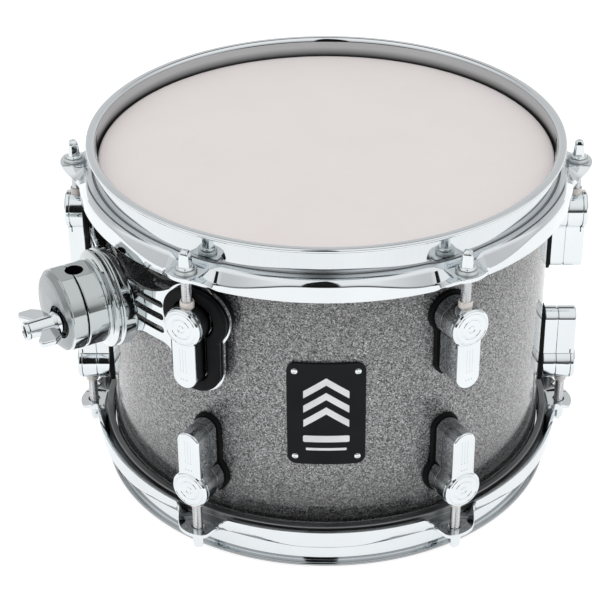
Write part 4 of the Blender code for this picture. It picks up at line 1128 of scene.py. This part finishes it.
put("wing_screw_washer", collar, body="wing_screw", matrix=MOUNT @ Matrix.Translation((SCREW_T, 0, 0)))

# ---------------------------------------------------------------- studio
scene = bpy.context.scene


def stage_plane(name, size, z, mat):
    bm = bmesh.new()
    bmesh.ops.create_grid(bm, x_segments=8, y_segments=8, size=size)
    mesh = bpy.data.meshes.new(name)
    bm.to_mesh(mesh)
    bm.free()
    mesh.materials.append(mat)
    obj = bpy.data.objects.new(name, mesh)
    obj.location = (0, 0, z)
    scene.collection.objects.link(obj)
    return obj


floor_nodes = Nodes("studio_floor_pale")
paper = floor_nodes.noise(6.0, 3.0)
floor_nodes.set(Base_Color=floor_nodes.mix(floor_nodes.remap(paper, 0.3, 0.7, 0.0, 1.0), (0.34, 0.34, 0.34), (0.36, 0.36, 0.36)),
                Roughness=0.9, Specular_IOR_Level=0.0, Emission_Color=(1.0, 1.0, 1.0), Emission_Strength=0.85)
stage_plane("studio_floor", 6.0, FLOOR_Z - 0.0006, floor_nodes.mat)

ROOM_WALL, ROOM_ROOF, ROOM_REAR = 0.66, 1.00, 0.74
world = bpy.data.worlds.new("studio_world")
scene.world = world
world.use_nodes = True
tree = world.node_tree
background = tree.nodes["Background"]


def wnode(kind, **props):
    node = tree.nodes.new(kind)
    for key, value in props.items():
        setattr(node, key, value)
    return node


def wmap(value, a, b, lo, hi):
    node = wnode("ShaderNodeMapRange", interpolation_type="SMOOTHSTEP")
    for key, number in (("From Min", a), ("From Max", b), ("To Min", lo), ("To Max", hi)):
        node.inputs[key].default_value = number
    tree.links.new(value, node.inputs["Value"])
    return node.outputs["Result"]


def wmath(op, a, b=0.0):
    node = wnode("ShaderNodeMath", operation=op)
    for i, v in enumerate((a, b)):
        if isinstance(v, (int, float)):
            node.inputs[i].default_value = v
        else:
            tree.links.new(v, node.inputs[i])
    return node.outputs[0]


# a white tent: pale back wall, dark seam above it, bright roof and sides, a dark slot in front and a dark foot to the front wall
direction = wnode("ShaderNodeTexCoord").outputs["Generated"]
axes = wnode("ShaderNodeSeparateXYZ")
tree.links.new(direction, axes.inputs[0])
up, back = axes.outputs["Z"], axes.outputs["Y"]
roof = wmap(up, 0.15, 0.75, ROOM_WALL, ROOM_ROOF)
rear_wall = wmap(up, 0.20, 0.56, ROOM_REAR, ROOM_REAR * 0.9)
in_rear = wmath("MULTIPLY", wmap(back, 0.25, 0.45, 0.0, 1.0), wmap(up, 0.62, 0.66, 1.0, 0.0))
level = wmath("ADD", wmath("MULTIPLY", roof, wmath("SUBTRACT", 1.0, in_rear)), wmath("MULTIPLY", rear_wall, in_rear))
seam = wmath("MULTIPLY", wmath("MULTIPLY", wmap(up, 0.60, 0.64, 0.0, 1.0), wmap(up, 0.82, 0.88, 1.0, 0.0)), wmap(back, 0.20, 0.35, 0.0, 1.0))
seam = wmath("MULTIPLY", seam, wmap(wmath("ABSOLUTE", axes.outputs["X"]), 0.10, 0.30, 1.0, 0.28))
ahead = wmath("MULTIPLY", back, -1.0)
aim = wmath("ABSOLUTE", wmath("ADD", wmath("DIVIDE", axes.outputs["X"], wmath("MAXIMUM", ahead, 0.001)), 0.05))
slot = wmath("MULTIPLY", wmap(aim, 0.140, 0.175, 1.0, 0.0), wmap(ahead, 0.02, 0.05, 0.0, 1.0))
slot = wmath("MULTIPLY", slot, wmap(up, 0.0, 0.04, 0.0, 1.0))
foot = wmath("MULTIPLY", wmath("MULTIPLY", wmap(up, 0.0, 0.02, 0.0, 0.92), wmap(up, 0.16, 0.40, 1.0, 0.0)), wmap(ahead, 0.45, 0.85, 0.0, 1.0))
dark = wmath("MAXIMUM", wmath("MAXIMUM", seam, slot), foot)
level = wmath("MULTIPLY", level, wmath("SUBTRACT", 1.0, wmath("MULTIPLY", dark, 0.985)))
level = wmath("ADD", wmath("MULTIPLY", level, wmap(up, -0.02, 0.0, 0.0, 1.0)), wmap(up, -0.02, 0.0, 1.0, 0.0))
tree.links.new(level, background.inputs["Strength"])
background.inputs["Color"].default_value = (1.0, 1.0, 1.0, 1.0)

overhead = bpy.data.lights.new("overhead_fill", "SUN")
overhead.energy = 0.47
overhead.angle = math.radians(70.0)
overhead_lamp = bpy.data.objects.new("overhead_fill", overhead)
overhead_lamp.location = (0, 0, 1.5)
overhead_lamp.visible_glossy = False
scene.collection.objects.link(overhead_lamp)

camera_data = bpy.data.cameras.new("camera")
camera_data.sensor_width = 36.0
camera_data.lens = 105.66
camera_data.shift_x = -0.0438
camera_data.shift_y = 0.0017
camera_data.clip_start = 0.01
camera = bpy.data.objects.new("camera", camera_data)
camera.location = (0.0, -0.88648, 0.44625)
camera.rotation_euler = (Vector((0, 0, -0.10104)) - camera.location).to_track_quat("-Z", "Y").to_euler()
scene.collection.objects.link(camera)
scene.camera = camera

scene.view_settings.view_transform = "Standard"
scene.view_settings.look = "None"
